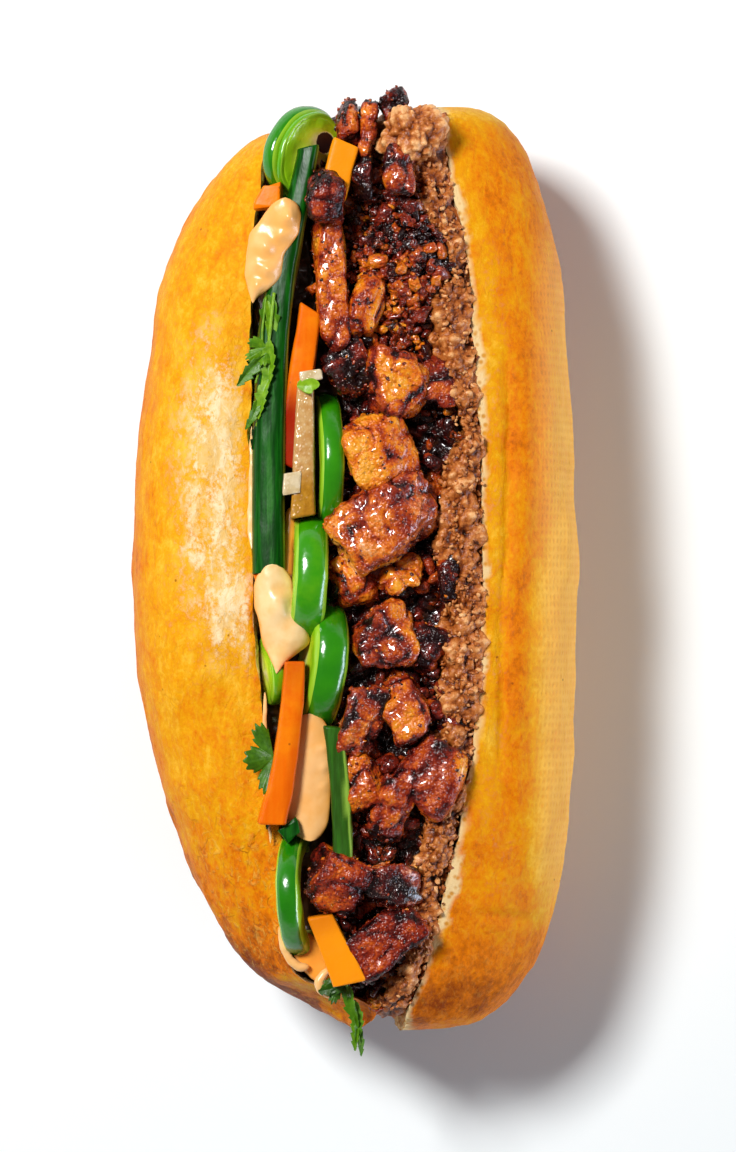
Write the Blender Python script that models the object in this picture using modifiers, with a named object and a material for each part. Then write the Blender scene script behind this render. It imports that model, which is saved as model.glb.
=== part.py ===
"""A chicken sandwich: a crusty roll split along its length, standing on its hinge with the
filling uppermost.

The frame is the sandwich's own: the origin lies on the table under the middle of the roll,
+Y runs along the roll, +X points to the half that was the roll's base, and +Z is up. Units
are metres. Each filling that can be told apart is a solid of its own.
"""

import math

import bmesh
import bpy
import numpy as np
from mathutils import Matrix, Vector

MM = 0.001
GAP = 0.3 * MM

# ---- the roll -------------------------------------------------------------------------
# A pillow folded into a U. Around the U runs a parameter from -1 at the left lip, through
# 0 at the hinge, to +1 at the right lip. Along the roll runs a parameter from -1 to +1.
HALF_WIDTH = 47.8 * MM
WIDEST_HEIGHT = 33 * MM
LIP_HEIGHT = 61 * MM
LIP_DROP = 8 * MM  # how much lower the lips are at the ends
HINGE_TOP = 14 * MM  # the pocket's floor above the table
POCKET_MIDDLE = 2 * MM
SETTLE = 0.8 * MM  # how far the crust has settled flat on the table
FOOT_LEFT, FOOT_RIGHT = -13 * MM, 14 * MM
FOOT_SHARE, WIDEST_SHARE = 0.16, 0.55  # where on the U the foot ends and the belly is
WALL_BEND = 0.6  # under 1 makes the pocket a U, 1 a V
BELLY_LEFT, BELLY_RIGHT = 0.85, 0.78  # under 1 is squarer than an ellipse
NOSE_SHARE = 0.62
# The noses: how far each end reaches, then the two powers of its taper.
NOSE_LEFT_FAR = (93.5 * MM, 2.6, 0.6)
NOSE_RIGHT_FAR = (99.8 * MM, 1.75, 0.25)
NOSE_LEFT_NEAR = (100.2 * MM, 2.1, 0.92)
NOSE_RIGHT_NEAR = (99.6 * MM, 2.1, 0.25)
NOSE_BLEND = 0.6  # the share of the U over which one half's nose turns into the other's
LIP_BACK, HINGE_BACK = 4 * MM, 8 * MM  # how far lips and hinge end short of the noses
# The lips seen from above, as (y, x) from the near end to the far end.
LEFT_LIP = (
    (-99, 1), (-95, -5), (-90, -11), (-84, -14.5), (-67, -16.8), (-47, -18.6),
    (-22, -20.4), (0, -21.9), (45, -22.2), (67, -22.2), (85, -19.6), (94, -18.4),
)
RIGHT_LIP = (
    (-100, 10.2), (-92, 12), (-85, 14.8), (-72, 18), (-60, 21.1), (-48, 23.4),
    (-20, 26.8), (0, 27), (30, 26.6), (50, 25), (63, 24.3), (72, 22.6), (81, 20.5),
    (91, 19.6), (100, 18.2),
)
# Near its end the left lip reaches over the pocket, by (y, shift to the right).
LEFT_TONGUE = (
    (-101, 1.5), (-96, 7.4), (-93, 11.4), (-90, 8), (-88, 2.5), (-86, 0.4), (-83, 0),
    (-80, 0), (100, 0),
)
TONGUE_SHARE = 0.5  # the tongue shows above this share of the U
ROLL_AROUND, ROLL_ALONG = 25, 29

# ---- layers that run through ----------------------------------------------------------
PATE_ENDS = (-93 * MM, 98 * MM)
PATE_THICKNESS = 7.5 * MM
PATE_MOUND = 6 * MM  # how much thicker the spread is at the far end
PATE_MOUND_START = 80 * MM
PATE_FLOOR_SHARE = 0.25  # its thickness at the pocket's floor, of that at the top
PATE_TOP = 62 * MM
PATE_CROWN = 1.4 * MM
HEAP_ENDS = (-92 * MM, 97 * MM)
HEAP_TOP = 56 * MM
HEAP_CRUMBLE = 5 * MM  # how much higher the chopped crumble stands
CRUMBLE_AT = (12 * MM, 66 * MM)
CRUMBLE_REACH = (11 * MM, 16 * MM)
HEAP_EDGE = -4.5 * MM  # the heap's left edge at its top
HEAP_LUMP = 0.8 * MM
MAYO_ENDS = (-86 * MM, 84 * MM)
MAYO_TOP = 57 * MM
MAYO_WAVE = 0.8 * MM
LAYER_GAP = 3 * GAP  # between one layer and the next
LAYER_ALONG = 26
END_ROUND = 5 * MM

# ---- chicken pieces on the heap: middle x and y, size x, y and z, top height, yaw -------
CHICKEN_PIECES = (
    (-6.4, 78.2, 7.2, 10.2, 8, 72.6, 0),
    (-1.6, 94, 4.2, 9, 10, 64, 8),
    (2.8, 92.8, 3.2, 10.2, 10, 64, -6),
    (8.2, 98.3, 5.0, 4.2, 8, 62, 30),
    (1.4, 82.8, 4.0, 8.6, 9, 65, 0),
    (9.2, 84.2, 6.2, 8.4, 8, 67, -15),
    (-5.0, 59.6, 5.8, 22.5, 11, 66, 6),
    (2.1, 55.0, 5.4, 11.2, 9, 65, -16),
    (-0.6, 43.0, 7.0, 10.0, 10, 66, 30),
    (8.6, 38.8, 9.4, 14.0, 12, 68, -10),
    (4.8, 25.6, 12.4, 11.4, 12, 67, 20),
    (17.6, 39.4, 6.4, 9.0, 9, 64, 10),
    (6.9, 10.4, 23.0, 13.6, 13, 69, 31),
    (-0.6, -2.2, 7.4, 9.4, 10, 64, 15),
    (9.2, -1.4, 11.0, 5.0, 8, 64, 26),
    (20.0, -1.0, 4.0, 9.5, 9, 63, 5),
    (6.5, -14.4, 10.6, 11.4, 11, 66, 20),
    (16.6, -16.2, 8.2, 9.4, 9, 64, -20),
    (1.3, -32.5, 6.6, 14.0, 11, 66, -18),
    (10.3, -29.2, 8.2, 11.6, 11, 66, 25),
    (18.4, -30.6, 6.6, 7.6, 8, 63, 0),
    (1.6, -45.2, 6.2, 10.6, 10, 65, 0),
    (16.6, -43.4, 10.4, 12.4, 11, 66, -30),
    (7.6, -50.6, 6.8, 12.0, 10, 66, -20),
    (-2.8, -66.6, 11.0, 11.2, 12, 68, -25),
    (7.9, -66.8, 10.0, 7.4, 10, 66, 10),
    (7.4, -80.0, 19.0, 10.0, 12, 66, 34),
)

# ---- vegetables: middle x and y, width, length, depth, top height, yaw, lean ------------
CARROTS = (
    (-17.6, 77.6, 4.2, 5.0, 6, 67, -8, 0),
    (-3.7, 84.0, 4.4, 10.4, 6, 63.6, -12, 0),
    (-10.6, 39.0, 5.0, 27.0, 10, 66, -7, 0),
    (-15.6, -36.6, 6.2, 33.0, 5, 67, -8, 0),
    (-4.8, -79.6, 5.0, 15.4, 8, 67, 22, 0),
)
DAIKONS = (
    (-9.9, 28.6, 3.9, 27.0, 9, 65, -3, 0),
    (-13.3, 17.6, 2.6, 4.8, 6, 63, 0, 0),
)
CUCUMBER_STICK = (-3.8, -47.8, 3.6, 26.0, 12, 63, 3, 0)
# The long spear's spine, as (y, x), and its width and depth.
SPEAR_SPINE = ((-0.3, -18.2), (18, -18.2), (36, -17.8), (52, -16.9), (71, -13.4), (88, -9.8))
SPEAR_WIDTH, SPEAR_TIP_WIDTH, SPEAR_DEPTH, SPEAR_TOP = 6.2 * MM, 4 * MM, 10 * MM, 66 * MM
# Slices: middle x and y, diameter, thickness, top height, yaw, lean, kept share of the disc.
JALAPENOS = (
    (-14.5, 89.6, 19.6, 3.8, 66.2, -18, -27, 1.0),
    (-10.6, 88.3, 20.0, 3.6, 68.5, -18, -27, 1.0),
    (-5.2, 22.4, 28.0, 4.8, 67, 0, 5, 0.45),
    (-9.9, -1.8, 25.0, 6.6, 69, -3, 2, 0.45),
    (-5.0, -20.4, 26.0, 5.8, 65, -6, 12, 0.45),
    (-10.2, -68.6, 25.0, 5.4, 68, 2, -12, 0.45),
    (-17.2, -21.8, 13.6, 2.2, 61, 10, 0, 0.45),
)
# Where two of them press together, the first gives way to the second.
LAPS = (
    ("jalapeno_2", "cucumber_spear"),
    ("jalapeno_2", "carrot_2"),
    ("jalapeno_3", "jalapeno_4"),
    ("jalapeno_5", "jalapeno_4"),
    ("carrot_3", "daikon_1"),
    ("daikon_2", "daikon_1"),
    ("carrot_5", "jalapeno_6"),
)
MAYO_DOLLOP = (-17.0, 66.6, 7.6, 20.4, 6.0, 72, -14)


def clear_scene():
    for thing in list(bpy.data.objects):
        bpy.data.objects.remove(thing, do_unlink=True)


def make_collection(name):
    group = bpy.data.collections.new(name)
    bpy.context.scene.collection.children.link(group)
    return group


def material(name, colour, roughness):
    """A plain finish, with its colour as linear red, green and blue."""
    made = bpy.data.materials.new(name)
    made.use_nodes = True
    shader = made.node_tree.nodes["Principled BSDF"]
    shader.inputs["Base Color"].default_value = (*colour, 1.0)
    shader.inputs["Roughness"].default_value = roughness
    shader.inputs["Metallic"].default_value = 0.0
    return made


def put(name, mesh, group, finish):
    """An object around the mesh, smooth except at its sharp edges."""
    mesh.shade_smooth()
    mesh.set_sharp_from_angle(angle=math.radians(50))
    made = bpy.data.objects.new(name, mesh)
    group.objects.link(made)
    mesh.materials.append(finish)
    return made


def smooth_through(points, at):
    """A cubic through (position, value) pairs in millimetres, read at positions in metres."""
    where, value = np.array(points, float).T * MM
    slope = np.gradient(value, where)
    k = np.clip(np.searchsorted(where, at) - 1, 0, len(where) - 2)
    span = where[k + 1] - where[k]
    t = np.clip((at - where[k]) / span, 0, 1)
    rise = value[k + 1] - value[k]
    start = t * (1 - t) ** 2 * span * slope[k]
    end = -(t**2) * (1 - t) * span * slope[k + 1]
    return value[k] + rise * t * t * (3 - 2 * t) + start + end


def ease(t):
    """A smooth step from 0 to 1."""
    t = np.clip(t, 0, 1)
    return t * t * (3 - 2 * t)


# ---- the roll's two surfaces ------------------------------------------------------------


def lip_height(y):
    return LIP_HEIGHT - LIP_DROP * np.abs(y / (100 * MM)) ** 4


def lip_place(around, y):
    """How far across a lip lies; high up, the left one takes in its tongue."""
    tongue = smooth_through(LEFT_TONGUE, y) * ease((np.abs(around) - TONGUE_SHARE) / 0.4)
    return np.where(around < 0, smooth_through(LEFT_LIP, y) + tongue, smooth_through(RIGHT_LIP, y))


def pocket_wall(around, y):
    """The cut face at a share around the U: up from the floor, then almost straight."""
    rise = np.abs(around)
    out = np.sin(np.minimum(rise, 1) ** WALL_BEND * math.pi / 2)
    x = POCKET_MIDDLE + (lip_place(around, y) - POCKET_MIDDLE) * out
    z = HINGE_TOP + (lip_height(y) - HINGE_TOP) * rise
    return x, z


def crust(around, y):
    """The full crust: a flat foot, a quarter out to the belly and a quarter in to the lip."""
    rise = np.abs(around)
    left = around < 0
    lip = lip_place(around, y)
    foot = np.where(left, FOOT_LEFT, FOOT_RIGHT)
    widest = np.where(left, -HALF_WIDTH, HALF_WIDTH)
    power = np.where(left, BELLY_LEFT, BELLY_RIGHT)
    low = np.clip((rise - FOOT_SHARE) / (WIDEST_SHARE - FOOT_SHARE), 0, 1) * math.pi / 2
    high = np.clip((rise - WIDEST_SHARE) / (1 - WIDEST_SHARE), 0, 1) * math.pi / 2
    x = np.where(
        rise < WIDEST_SHARE,
        widest + (foot - widest) * (1 - np.sin(low) ** power),
        lip + (widest - lip) * np.cos(high) ** power,
    )
    x = np.where(rise < FOOT_SHARE, foot * rise / FOOT_SHARE, x)
    z = np.where(
        rise < WIDEST_SHARE,
        WIDEST_HEIGHT * (1 - np.cos(low) ** power),
        WIDEST_HEIGHT + (lip_height(y) - WIDEST_HEIGHT) * np.sin(high) ** power,
    )
    return x, z


def nose(around, near):
    """How far the roll reaches towards one end, and the taper's two powers there."""
    rise = np.abs(around)
    left, right = (NOSE_LEFT_NEAR, NOSE_RIGHT_NEAR) if near else (NOSE_LEFT_FAR, NOSE_RIGHT_FAR)
    share = ease(around / NOSE_BLEND + 0.5)
    reach, taper, round_power = (a + (b - a) * share for a, b in zip(left, right))
    back_low = HINGE_BACK * np.clip(1 - rise / NOSE_SHARE, 0, 1) ** 2
    back_high = LIP_BACK * np.clip((rise - NOSE_SHARE) / (1 - NOSE_SHARE), 0, 1) ** 2
    return reach - back_low - back_high, taper, round_power


def roll_surfaces(around, along):
    """Outer and inner points: the crust closes onto the cut face towards both noses."""
    far, far_taper, far_round = nose(around, near=False)
    near, near_taper, near_round = nose(around, near=True)
    swing = np.sin(along * math.pi / 2)
    y = (far - near) / 2 + (far + near) / 2 * swing
    taper = np.where(along < 0, near_taper, far_taper)
    round_power = np.where(along < 0, near_round, far_round)
    full = np.clip(1 - np.abs(swing) ** taper, 0, 1) ** round_power
    inner_x, inner_z = pocket_wall(around, y)
    outer_x, outer_z = crust(around, y)
    outer_x = inner_x + (outer_x - inner_x) * full
    outer_z = inner_z + (outer_z - inner_z) * full
    outer_z = np.maximum(outer_z - SETTLE, 0)
    inner_z = inner_z - SETTLE
    edge = (np.abs(along) == 1) | (np.abs(around) == 1)
    outer_z = np.where(edge, inner_z, outer_z)
    return np.stack([outer_x, y, outer_z], -1), np.stack([inner_x, y, inner_z], -1)


def roll_mesh():
    """Two grids, crust and cut face, that share their rim."""
    around, along = np.meshgrid(
        np.linspace(-1, 1, ROLL_AROUND), np.linspace(-1, 1, ROLL_ALONG), indexing="ij"
    )
    outer, inner = roll_surfaces(around, along)
    number = np.arange(around.size).reshape(around.shape)
    rim = (np.abs(around) == 1) | (np.abs(along) == 1)
    inner_number = np.where(rim, number, around.size + np.cumsum(~rim).reshape(rim.shape) - 1)
    points = np.concatenate([outer.reshape(-1, 3), inner[~rim]])
    faces = []
    for grid, flip in ((number, True), (inner_number, False)):
        quads = np.stack([grid[:-1, :-1], grid[1:, :-1], grid[1:, 1:], grid[:-1, 1:]], -1)
        quads = quads.reshape(-1, 4)
        faces += (quads[:, ::-1] if flip else quads).tolist()
    mesh = bpy.data.meshes.new("roll")
    mesh.from_pydata(points.tolist(), [], faces)
    return mesh


# ---- layers ------------------------------------------------------------------------------


def loft(name, rings):
    """Closed rings, one after another along +Y, skinned and capped at both ends."""
    count, around = rings.shape[:2]
    number = np.arange(count * around).reshape(count, around)
    turned = np.roll(number, -1, axis=1)
    quads = np.stack([number[:-1], turned[:-1], turned[1:], number[1:]], -1).reshape(-1, 4)
    mesh = bpy.data.meshes.new(name)
    caps = [number[0, ::-1].tolist(), number[-1].tolist()]
    mesh.from_pydata(rings.reshape(-1, 3).tolist(), [], quads.tolist() + caps)
    shape = bmesh.new()
    shape.from_mesh(mesh)
    bmesh.ops.recalc_face_normals(shape, faces=shape.faces)
    shape.to_mesh(mesh)
    shape.free()
    return mesh


def stations(ends):
    """Places along a layer, closer together towards both its ends."""
    swing = np.sin(np.linspace(-1, 1, LAYER_ALONG) * math.pi / 2)[:, None]
    return (ends[0] + ends[1]) / 2 + (ends[1] - ends[0]) / 2 * swing


def round_ends(x, y, z, ends):
    """Rings of a layer, drawn in towards their middles over the last stretch of each end."""
    beyond = np.maximum(ends[0] + END_ROUND - y, y - ends[1] + END_ROUND) / END_ROUND
    keep = np.sqrt(1 - 0.8 * np.clip(beyond, 0, 1) ** 2)
    middle_x = x.mean(axis=1, keepdims=True)
    middle_z = z.mean(axis=1, keepdims=True)
    x = middle_x + (x - middle_x) * keep
    z = middle_z + (z - middle_z) * keep
    return np.stack([x, y + 0 * x, z], -1)


def spread_thickness(y):
    """The spread's thickness at its top, lumpy, and thicker in the mound at the far end."""
    lumps = 1.6 * MM * np.sin(y / (6.2 * MM)) + 1.0 * MM * np.sin(y / (2.9 * MM) + 1)
    return PATE_THICKNESS + lumps + PATE_MOUND * ease((y - PATE_MOUND_START) / (8 * MM))


def pate_left(rise, y):
    """The spread's face towards the chicken: its thickness grows from the floor upwards."""
    wall, _ = pocket_wall(rise, y)
    share = PATE_FLOOR_SHARE + (1 - PATE_FLOOR_SHARE) * np.clip(rise, 0, 1)
    return wall - GAP - spread_thickness(y) * share


def pate_mesh():
    """Up the right cut face, over a rounded top and down the side towards the chicken."""
    y = stations(PATE_ENDS)
    rise = np.linspace(0.14, 1, 7)[None, :]
    wall_x, wall_z = pocket_wall(rise, y)
    inner_x = pate_left(rise, y)
    height = wall_z - SETTLE
    crest = PATE_TOP + 1.2 * MM * np.sin(y / (4.1 * MM)) - LIP_DROP * np.abs(y / 0.1) ** 4
    across = np.linspace(0, 1, 5)[None, 1:-1]
    top_x = wall_x[:, -1:] - GAP + (inner_x[:, -1:] - wall_x[:, -1:]) * across
    top_z = crest + PATE_CROWN * np.sin(across * math.pi)
    x = np.concatenate([wall_x - GAP, top_x, inner_x[:, ::-1]], 1)
    z = np.concatenate([height, top_z, height[:, ::-1]], 1)
    return loft("pate_layer", round_ends(x, y, z, PATE_ENDS))


def heap_left(rise, y):
    """The chicken's left side: at the wall low down, then leaning away from it."""
    wall, _ = pocket_wall(-rise, y)
    top = HEAP_EDGE + 2 * MM * np.sin(y / (17 * MM)) - 3 * MM * ease((y - 44 * MM) / (8 * MM))
    return wall + GAP + np.maximum(top - wall, 0) * ease((rise - 0.25) / 0.6)


def heap_mesh():
    """The heap between the spread and the vegetables, with a lumpy top."""
    y = stations(HEAP_ENDS)
    rise = np.linspace(0.1, 0.86, 6)[None, :]
    left_x = heap_left(rise, y)
    right_x = pate_left(rise, y) - LAYER_GAP
    _, height = pocket_wall(rise, y)
    across = np.linspace(0, 1, 8)[None, 1:-1]
    top_x = left_x[:, -1:] + (right_x[:, -1:] - left_x[:, -1:]) * across
    lumps = np.sin(top_x / (2.6 * MM) + np.sin(y / (5 * MM))) * np.sin(y / (3.4 * MM) + top_x / MM)
    off_x = (top_x - CRUMBLE_AT[0]) / CRUMBLE_REACH[0]
    off_y = (y - CRUMBLE_AT[1]) / CRUMBLE_REACH[1]
    top_z = HEAP_TOP + HEAP_LUMP * lumps + HEAP_CRUMBLE * np.exp(-(off_x**2) - off_y**2)
    top_z = top_z - LIP_DROP * np.abs(y / 0.1) ** 6
    x = np.concatenate([left_x, top_x, right_x[:, ::-1]], 1)
    z = np.concatenate([height, top_z, height[:, ::-1]], 1)
    return loft("chicken_filling", round_ends(x, y, z, HEAP_ENDS))


def mayo_mesh():
    """The sauce under the vegetables, between the left cut face and the chicken."""
    y = stations(MAYO_ENDS)
    rise = np.linspace(0.42, 0.84, 4)[None, :]
    left_x, height = pocket_wall(-rise, y)
    right_x = heap_left(rise, y) - LAYER_GAP - GAP
    top_x = (left_x[:, -1:] + right_x[:, -1:]) / 2
    top_z = MAYO_TOP + MAYO_WAVE * np.sin(y / (9 * MM)) - LIP_DROP * np.abs(y / 0.1) ** 6
    x = np.concatenate([left_x + GAP, top_x, right_x[:, ::-1]], 1)
    z = np.concatenate([height, top_z, height[:, ::-1]], 1)
    return loft("mayo_layer", round_ends(x, y, z, MAYO_ENDS))


def spear_mesh():
    """The long cucumber spear: a rounded bar along its spine, narrower at the far end."""
    where = np.linspace(SPEAR_SPINE[0][0], SPEAR_SPINE[-1][0], 15) * MM
    spine = smooth_through(SPEAR_SPINE, where)[:, None]
    share = ease((where - 50 * MM) / (38 * MM))[:, None]
    half = (SPEAR_WIDTH + (SPEAR_TIP_WIDTH - SPEAR_WIDTH) * share) / 2
    across = np.array([-0.62, -1, -1, -0.8, 0, 0.8, 1, 1, 0.62])[None, :]
    down = np.array([1, 0.75, 0.25, 0.08, 0, 0.08, 0.25, 0.75, 1])[None, :]
    x = spine + half * across
    z = SPEAR_TOP - SPEAR_DEPTH * down + 0 * x
    return loft("cucumber_spear", np.stack([x, where[:, None] + 0 * x, z], -1))


# ---- single pieces -----------------------------------------------------------------------


def finished(name, shape):
    bmesh.ops.recalc_face_normals(shape, faces=shape.faces)
    mesh = bpy.data.meshes.new(name)
    shape.to_mesh(mesh)
    shape.free()
    return mesh


def chunk_mesh(name, size, seed):
    """A ball pressed towards a block, with three soft dents of its own."""
    shape = bmesh.new()
    bmesh.ops.create_uvsphere(shape, u_segments=9, v_segments=6, radius=1)
    for vertex in shape.verts:
        way = vertex.co.copy()
        block = Vector([math.copysign(abs(c) ** 0.72, c) for c in way])
        dent = math.sin(3.1 * way.x + seed) + math.sin(2.7 * way.y + 2 * seed)
        block *= 0.98 + 0.04 * (dent + math.sin(3.7 * way.z + 3 * seed))
        vertex.co = Vector([c * s / 2 for c, s in zip(block, size)])
    return finished(name, shape)


def stick_mesh(name, size):
    """A straight cut stick, its length along Y."""
    shape = bmesh.new()
    bmesh.ops.create_cube(shape, size=1, matrix=Matrix.Diagonal((*size, 1)))
    return finished(name, shape)


def slice_mesh(name, diameter, thickness, kept):
    """A round slice with its axis along X, or the upper share of one, cut flat below."""
    shape = bmesh.new()
    turn = Matrix.Rotation(math.pi / 2, 4, "Y")
    bmesh.ops.create_cone(
        shape, cap_ends=True, segments=24, radius1=diameter / 2, radius2=diameter / 2,
        depth=thickness, matrix=turn,
    )
    if kept < 1:
        everything = shape.verts[:] + shape.edges[:] + shape.faces[:]
        cut = diameter * (0.5 - kept)
        bmesh.ops.bisect_plane(
            shape, geom=everything, plane_co=(0, 0, cut), plane_no=(0, 0, -1), clear_outer=True
        )
        bmesh.ops.holes_fill(shape, edges=[e for e in shape.edges if e.is_boundary])
    return finished(name, shape)


def soften(thing, width):
    bevel = thing.modifiers.new("edges", "BEVEL")
    bevel.width = width
    bevel.segments = 1


def place(thing, x, y, z, yaw, lean):
    thing.location = (x * MM, y * MM, z)
    thing.rotation_euler = (0, math.radians(lean), math.radians(yaw))


def chicken_piece(number, row, group, finish):
    x, y, *size, top, yaw = row
    name = f"chicken_piece_{number:02d}"
    made = put(name, chunk_mesh(name, [s * MM for s in size], number), group, finish)
    place(made, x, y, (top - size[2] / 2) * MM, yaw, 0)
    return made


def stick(name, row, group, finish):
    x, y, width, length, depth, top, yaw, lean = row
    made = put(name, stick_mesh(name, (width * MM, length * MM, depth * MM)), group, finish)
    place(made, x, y, (top - depth / 2) * MM, yaw, lean)
    soften(made, 0.4 * MM)
    return made


def jalapeno(number, row, group, finish):
    x, y, diameter, thickness, top, yaw, lean, kept = row
    name = f"jalapeno_{number}"
    mesh = slice_mesh(name, diameter * MM, thickness * MM, kept)
    made = put(name, mesh, group, finish)
    place(made, x, y, (top - diameter / 2) * MM, yaw, lean)
    soften(made, 0.5 * MM)
    return made


def add_cutter(thing, cutters):
    """A copy of the piece, larger by the gap all round, which only cuts."""
    bpy.context.view_layer.update()
    seen = thing.evaluated_get(bpy.context.evaluated_depsgraph_get())
    mesh = bpy.data.meshes.new_from_object(seen)
    shape = bmesh.new()
    shape.from_mesh(mesh)
    shape.normal_update()
    moves = [vertex.normal * 1.5 * GAP for vertex in shape.verts]
    for vertex, move in zip(shape.verts, moves):
        vertex.co += move
    shape.to_mesh(mesh)
    shape.free()
    cutter = bpy.data.objects.new(f"cut_{thing.name}", mesh)
    cutter.matrix_world = thing.matrix_world.copy()
    cutter.display_type = "WIRE"
    cutter.hide_render = True
    cutters.objects.link(cutter)


def make_room(thing, solver="EXACT"):
    cut = thing.modifiers.new("make_room", "BOOLEAN")
    cut.operation = "DIFFERENCE"
    cut.solver = solver
    return cut


def carve_all(thing, cutters):
    """A layer gives way to every piece in it; so many cutters at once need MANIFOLD."""
    cut = make_room(thing, "MANIFOLD")
    cut.operand_type = "COLLECTION"
    cut.collection = cutters


def build():
    clear_scene()
    parts = make_collection("chicken_sandwich")
    cutters = make_collection("cutters")
    crust_finish = material("crust", (0.87, 0.40, 0.05), 0.42)
    pate_finish = material("pate", (0.48, 0.17, 0.05), 0.7)
    chicken_finish = material("chicken", (0.30, 0.06, 0.02), 0.3)
    mayo_finish = material("mayo", (0.97, 0.57, 0.12), 0.25)
    carrot_finish = material("carrot", (0.95, 0.24, 0.002), 0.35)
    daikon_finish = material("daikon", (0.62, 0.31, 0.10), 0.3)
    cucumber_finish = material("cucumber", (0.006, 0.09, 0.004), 0.3)
    jalapeno_finish = material("jalapeno", (0.04, 0.29, 0.004), 0.22)

    small = []
    for number, row in enumerate(CHICKEN_PIECES, 1):
        small.append(chicken_piece(number, row, parts, chicken_finish))
    for number, row in enumerate(CARROTS, 1):
        small.append(stick(f"carrot_{number}", row, parts, carrot_finish))
    for number, row in enumerate(DAIKONS, 1):
        small.append(stick(f"daikon_{number}", row, parts, daikon_finish))
    small.append(stick("cucumber_stick", CUCUMBER_STICK, parts, cucumber_finish))
    small.append(put("cucumber_spear", spear_mesh(), parts, cucumber_finish))
    for number, row in enumerate(JALAPENOS, 1):
        small.append(jalapeno(number, row, parts, jalapeno_finish))
    x, y, *size, top, yaw = MAYO_DOLLOP
    dollop = put("mayo_dollop", chunk_mesh("mayo_dollop", [s * MM for s in size], 4), parts, mayo_finish)
    place(dollop, x, y, (top - size[2] / 2) * MM, yaw, 0)
    small.append(dollop)
    for thing in small:
        add_cutter(thing, cutters)

    put("roll", roll_mesh(), parts, crust_finish)
    for name, mesh, finish in (
        ("pate_layer", pate_mesh(), pate_finish),
        ("chicken_filling", heap_mesh(), chicken_finish),
        ("mayo_layer", mayo_mesh(), mayo_finish),
    ):
        carve_all(put(name, mesh, parts, finish), cutters)
    for name, over in LAPS:
        make_room(parts.objects[name]).object = cutters.objects[f"cut_{over}"]


build()
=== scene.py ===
"""The looks of a chicken sandwich: a split crusty roll packed with coarse spread, glazed
chopped chicken, pickled vegetables, chilli slices, sauce and coriander.

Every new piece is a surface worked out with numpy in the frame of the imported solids: origin
on the table under the roll, +Y along the roll, +Z up, metres.
"""

import math

import bpy
import numpy as np
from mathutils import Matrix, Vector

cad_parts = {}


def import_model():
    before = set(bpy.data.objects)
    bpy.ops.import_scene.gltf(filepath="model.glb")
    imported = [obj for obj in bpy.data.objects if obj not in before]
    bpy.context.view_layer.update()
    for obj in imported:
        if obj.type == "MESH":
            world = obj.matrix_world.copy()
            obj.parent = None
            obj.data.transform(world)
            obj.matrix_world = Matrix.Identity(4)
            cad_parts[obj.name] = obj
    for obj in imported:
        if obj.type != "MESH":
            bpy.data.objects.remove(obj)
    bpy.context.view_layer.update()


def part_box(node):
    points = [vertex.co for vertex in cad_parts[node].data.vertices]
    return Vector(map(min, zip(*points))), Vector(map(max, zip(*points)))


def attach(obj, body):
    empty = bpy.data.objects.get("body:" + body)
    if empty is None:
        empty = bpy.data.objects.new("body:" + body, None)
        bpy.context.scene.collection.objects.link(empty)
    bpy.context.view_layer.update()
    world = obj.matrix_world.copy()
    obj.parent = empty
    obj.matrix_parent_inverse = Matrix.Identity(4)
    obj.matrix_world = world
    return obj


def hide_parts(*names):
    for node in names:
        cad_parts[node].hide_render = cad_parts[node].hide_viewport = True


MM = 0.001

# ---- the roll, as in the solids ----
ROLL_MIDDLE = 1.5 * MM
HALF_WIDTH = 47.8 * MM
WIDEST_HEIGHT = 33 * MM
LIP_HEIGHT = 61 * MM
LIP_DROP = 8 * MM
HINGE_TOP = 14 * MM
POCKET_MIDDLE = 2 * MM
SETTLE = 0.8 * MM
FOOT_LEFT, FOOT_RIGHT = -13 * MM, 14 * MM
FOOT_SHARE, WIDEST_SHARE = 0.16, 0.55
WALL_BEND = 0.6
BELLY_LEFT, BELLY_RIGHT = 0.85, 0.78
NOSE_SHARE = 0.62
NOSE_LEFT_FAR = (93.5 * MM, 2.6, 0.6)
NOSE_RIGHT_FAR = (99.8 * MM, 1.75, 0.25)
NOSE_LEFT_NEAR = (100.2 * MM, 2.1, 0.92)
NOSE_RIGHT_NEAR = (99.6 * MM, 2.1, 0.25)
NOSE_BLEND = 0.6
LIP_BACK, HINGE_BACK = 4 * MM, 8 * MM
# Lips and tongue as (y, x) in millimetres.
LEFT_LIP = (
    (-99, 1), (-95, -5), (-90, -11), (-84, -13.4), (-67, -14.6), (-57, -15.6), (-47, -18.4),
    (-22, -20.4), (0, -21.9), (45, -22.2), (67, -22.2), (85, -19.6), (94, -18.4),
)
RIGHT_LIP = (
    (-100, 10.2), (-92, 12), (-85, 14.8), (-72, 18), (-60, 21.1), (-48, 23.4),
    (-20, 26.8), (0, 27), (30, 26.6), (50, 25), (63, 24.3), (72, 22.6), (81, 20.5),
    (91, 19.6), (100, 18.2),
)
LEFT_TONGUE = (
    (-101, -2), (-99, -1), (-98, 1.4), (-97, 4.2), (-96, 7.0), (-95, 9.2), (-93, 11.0),
    (-90, 8), (-88, 2.5), (-86, 0.4), (-83, 0), (-80, 0), (100, 0),
)
TONGUE_SHARE = 0.5
ROLL_AROUND, ROLL_ALONG = 199, 241
SHARP_ANGLE = 55

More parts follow.
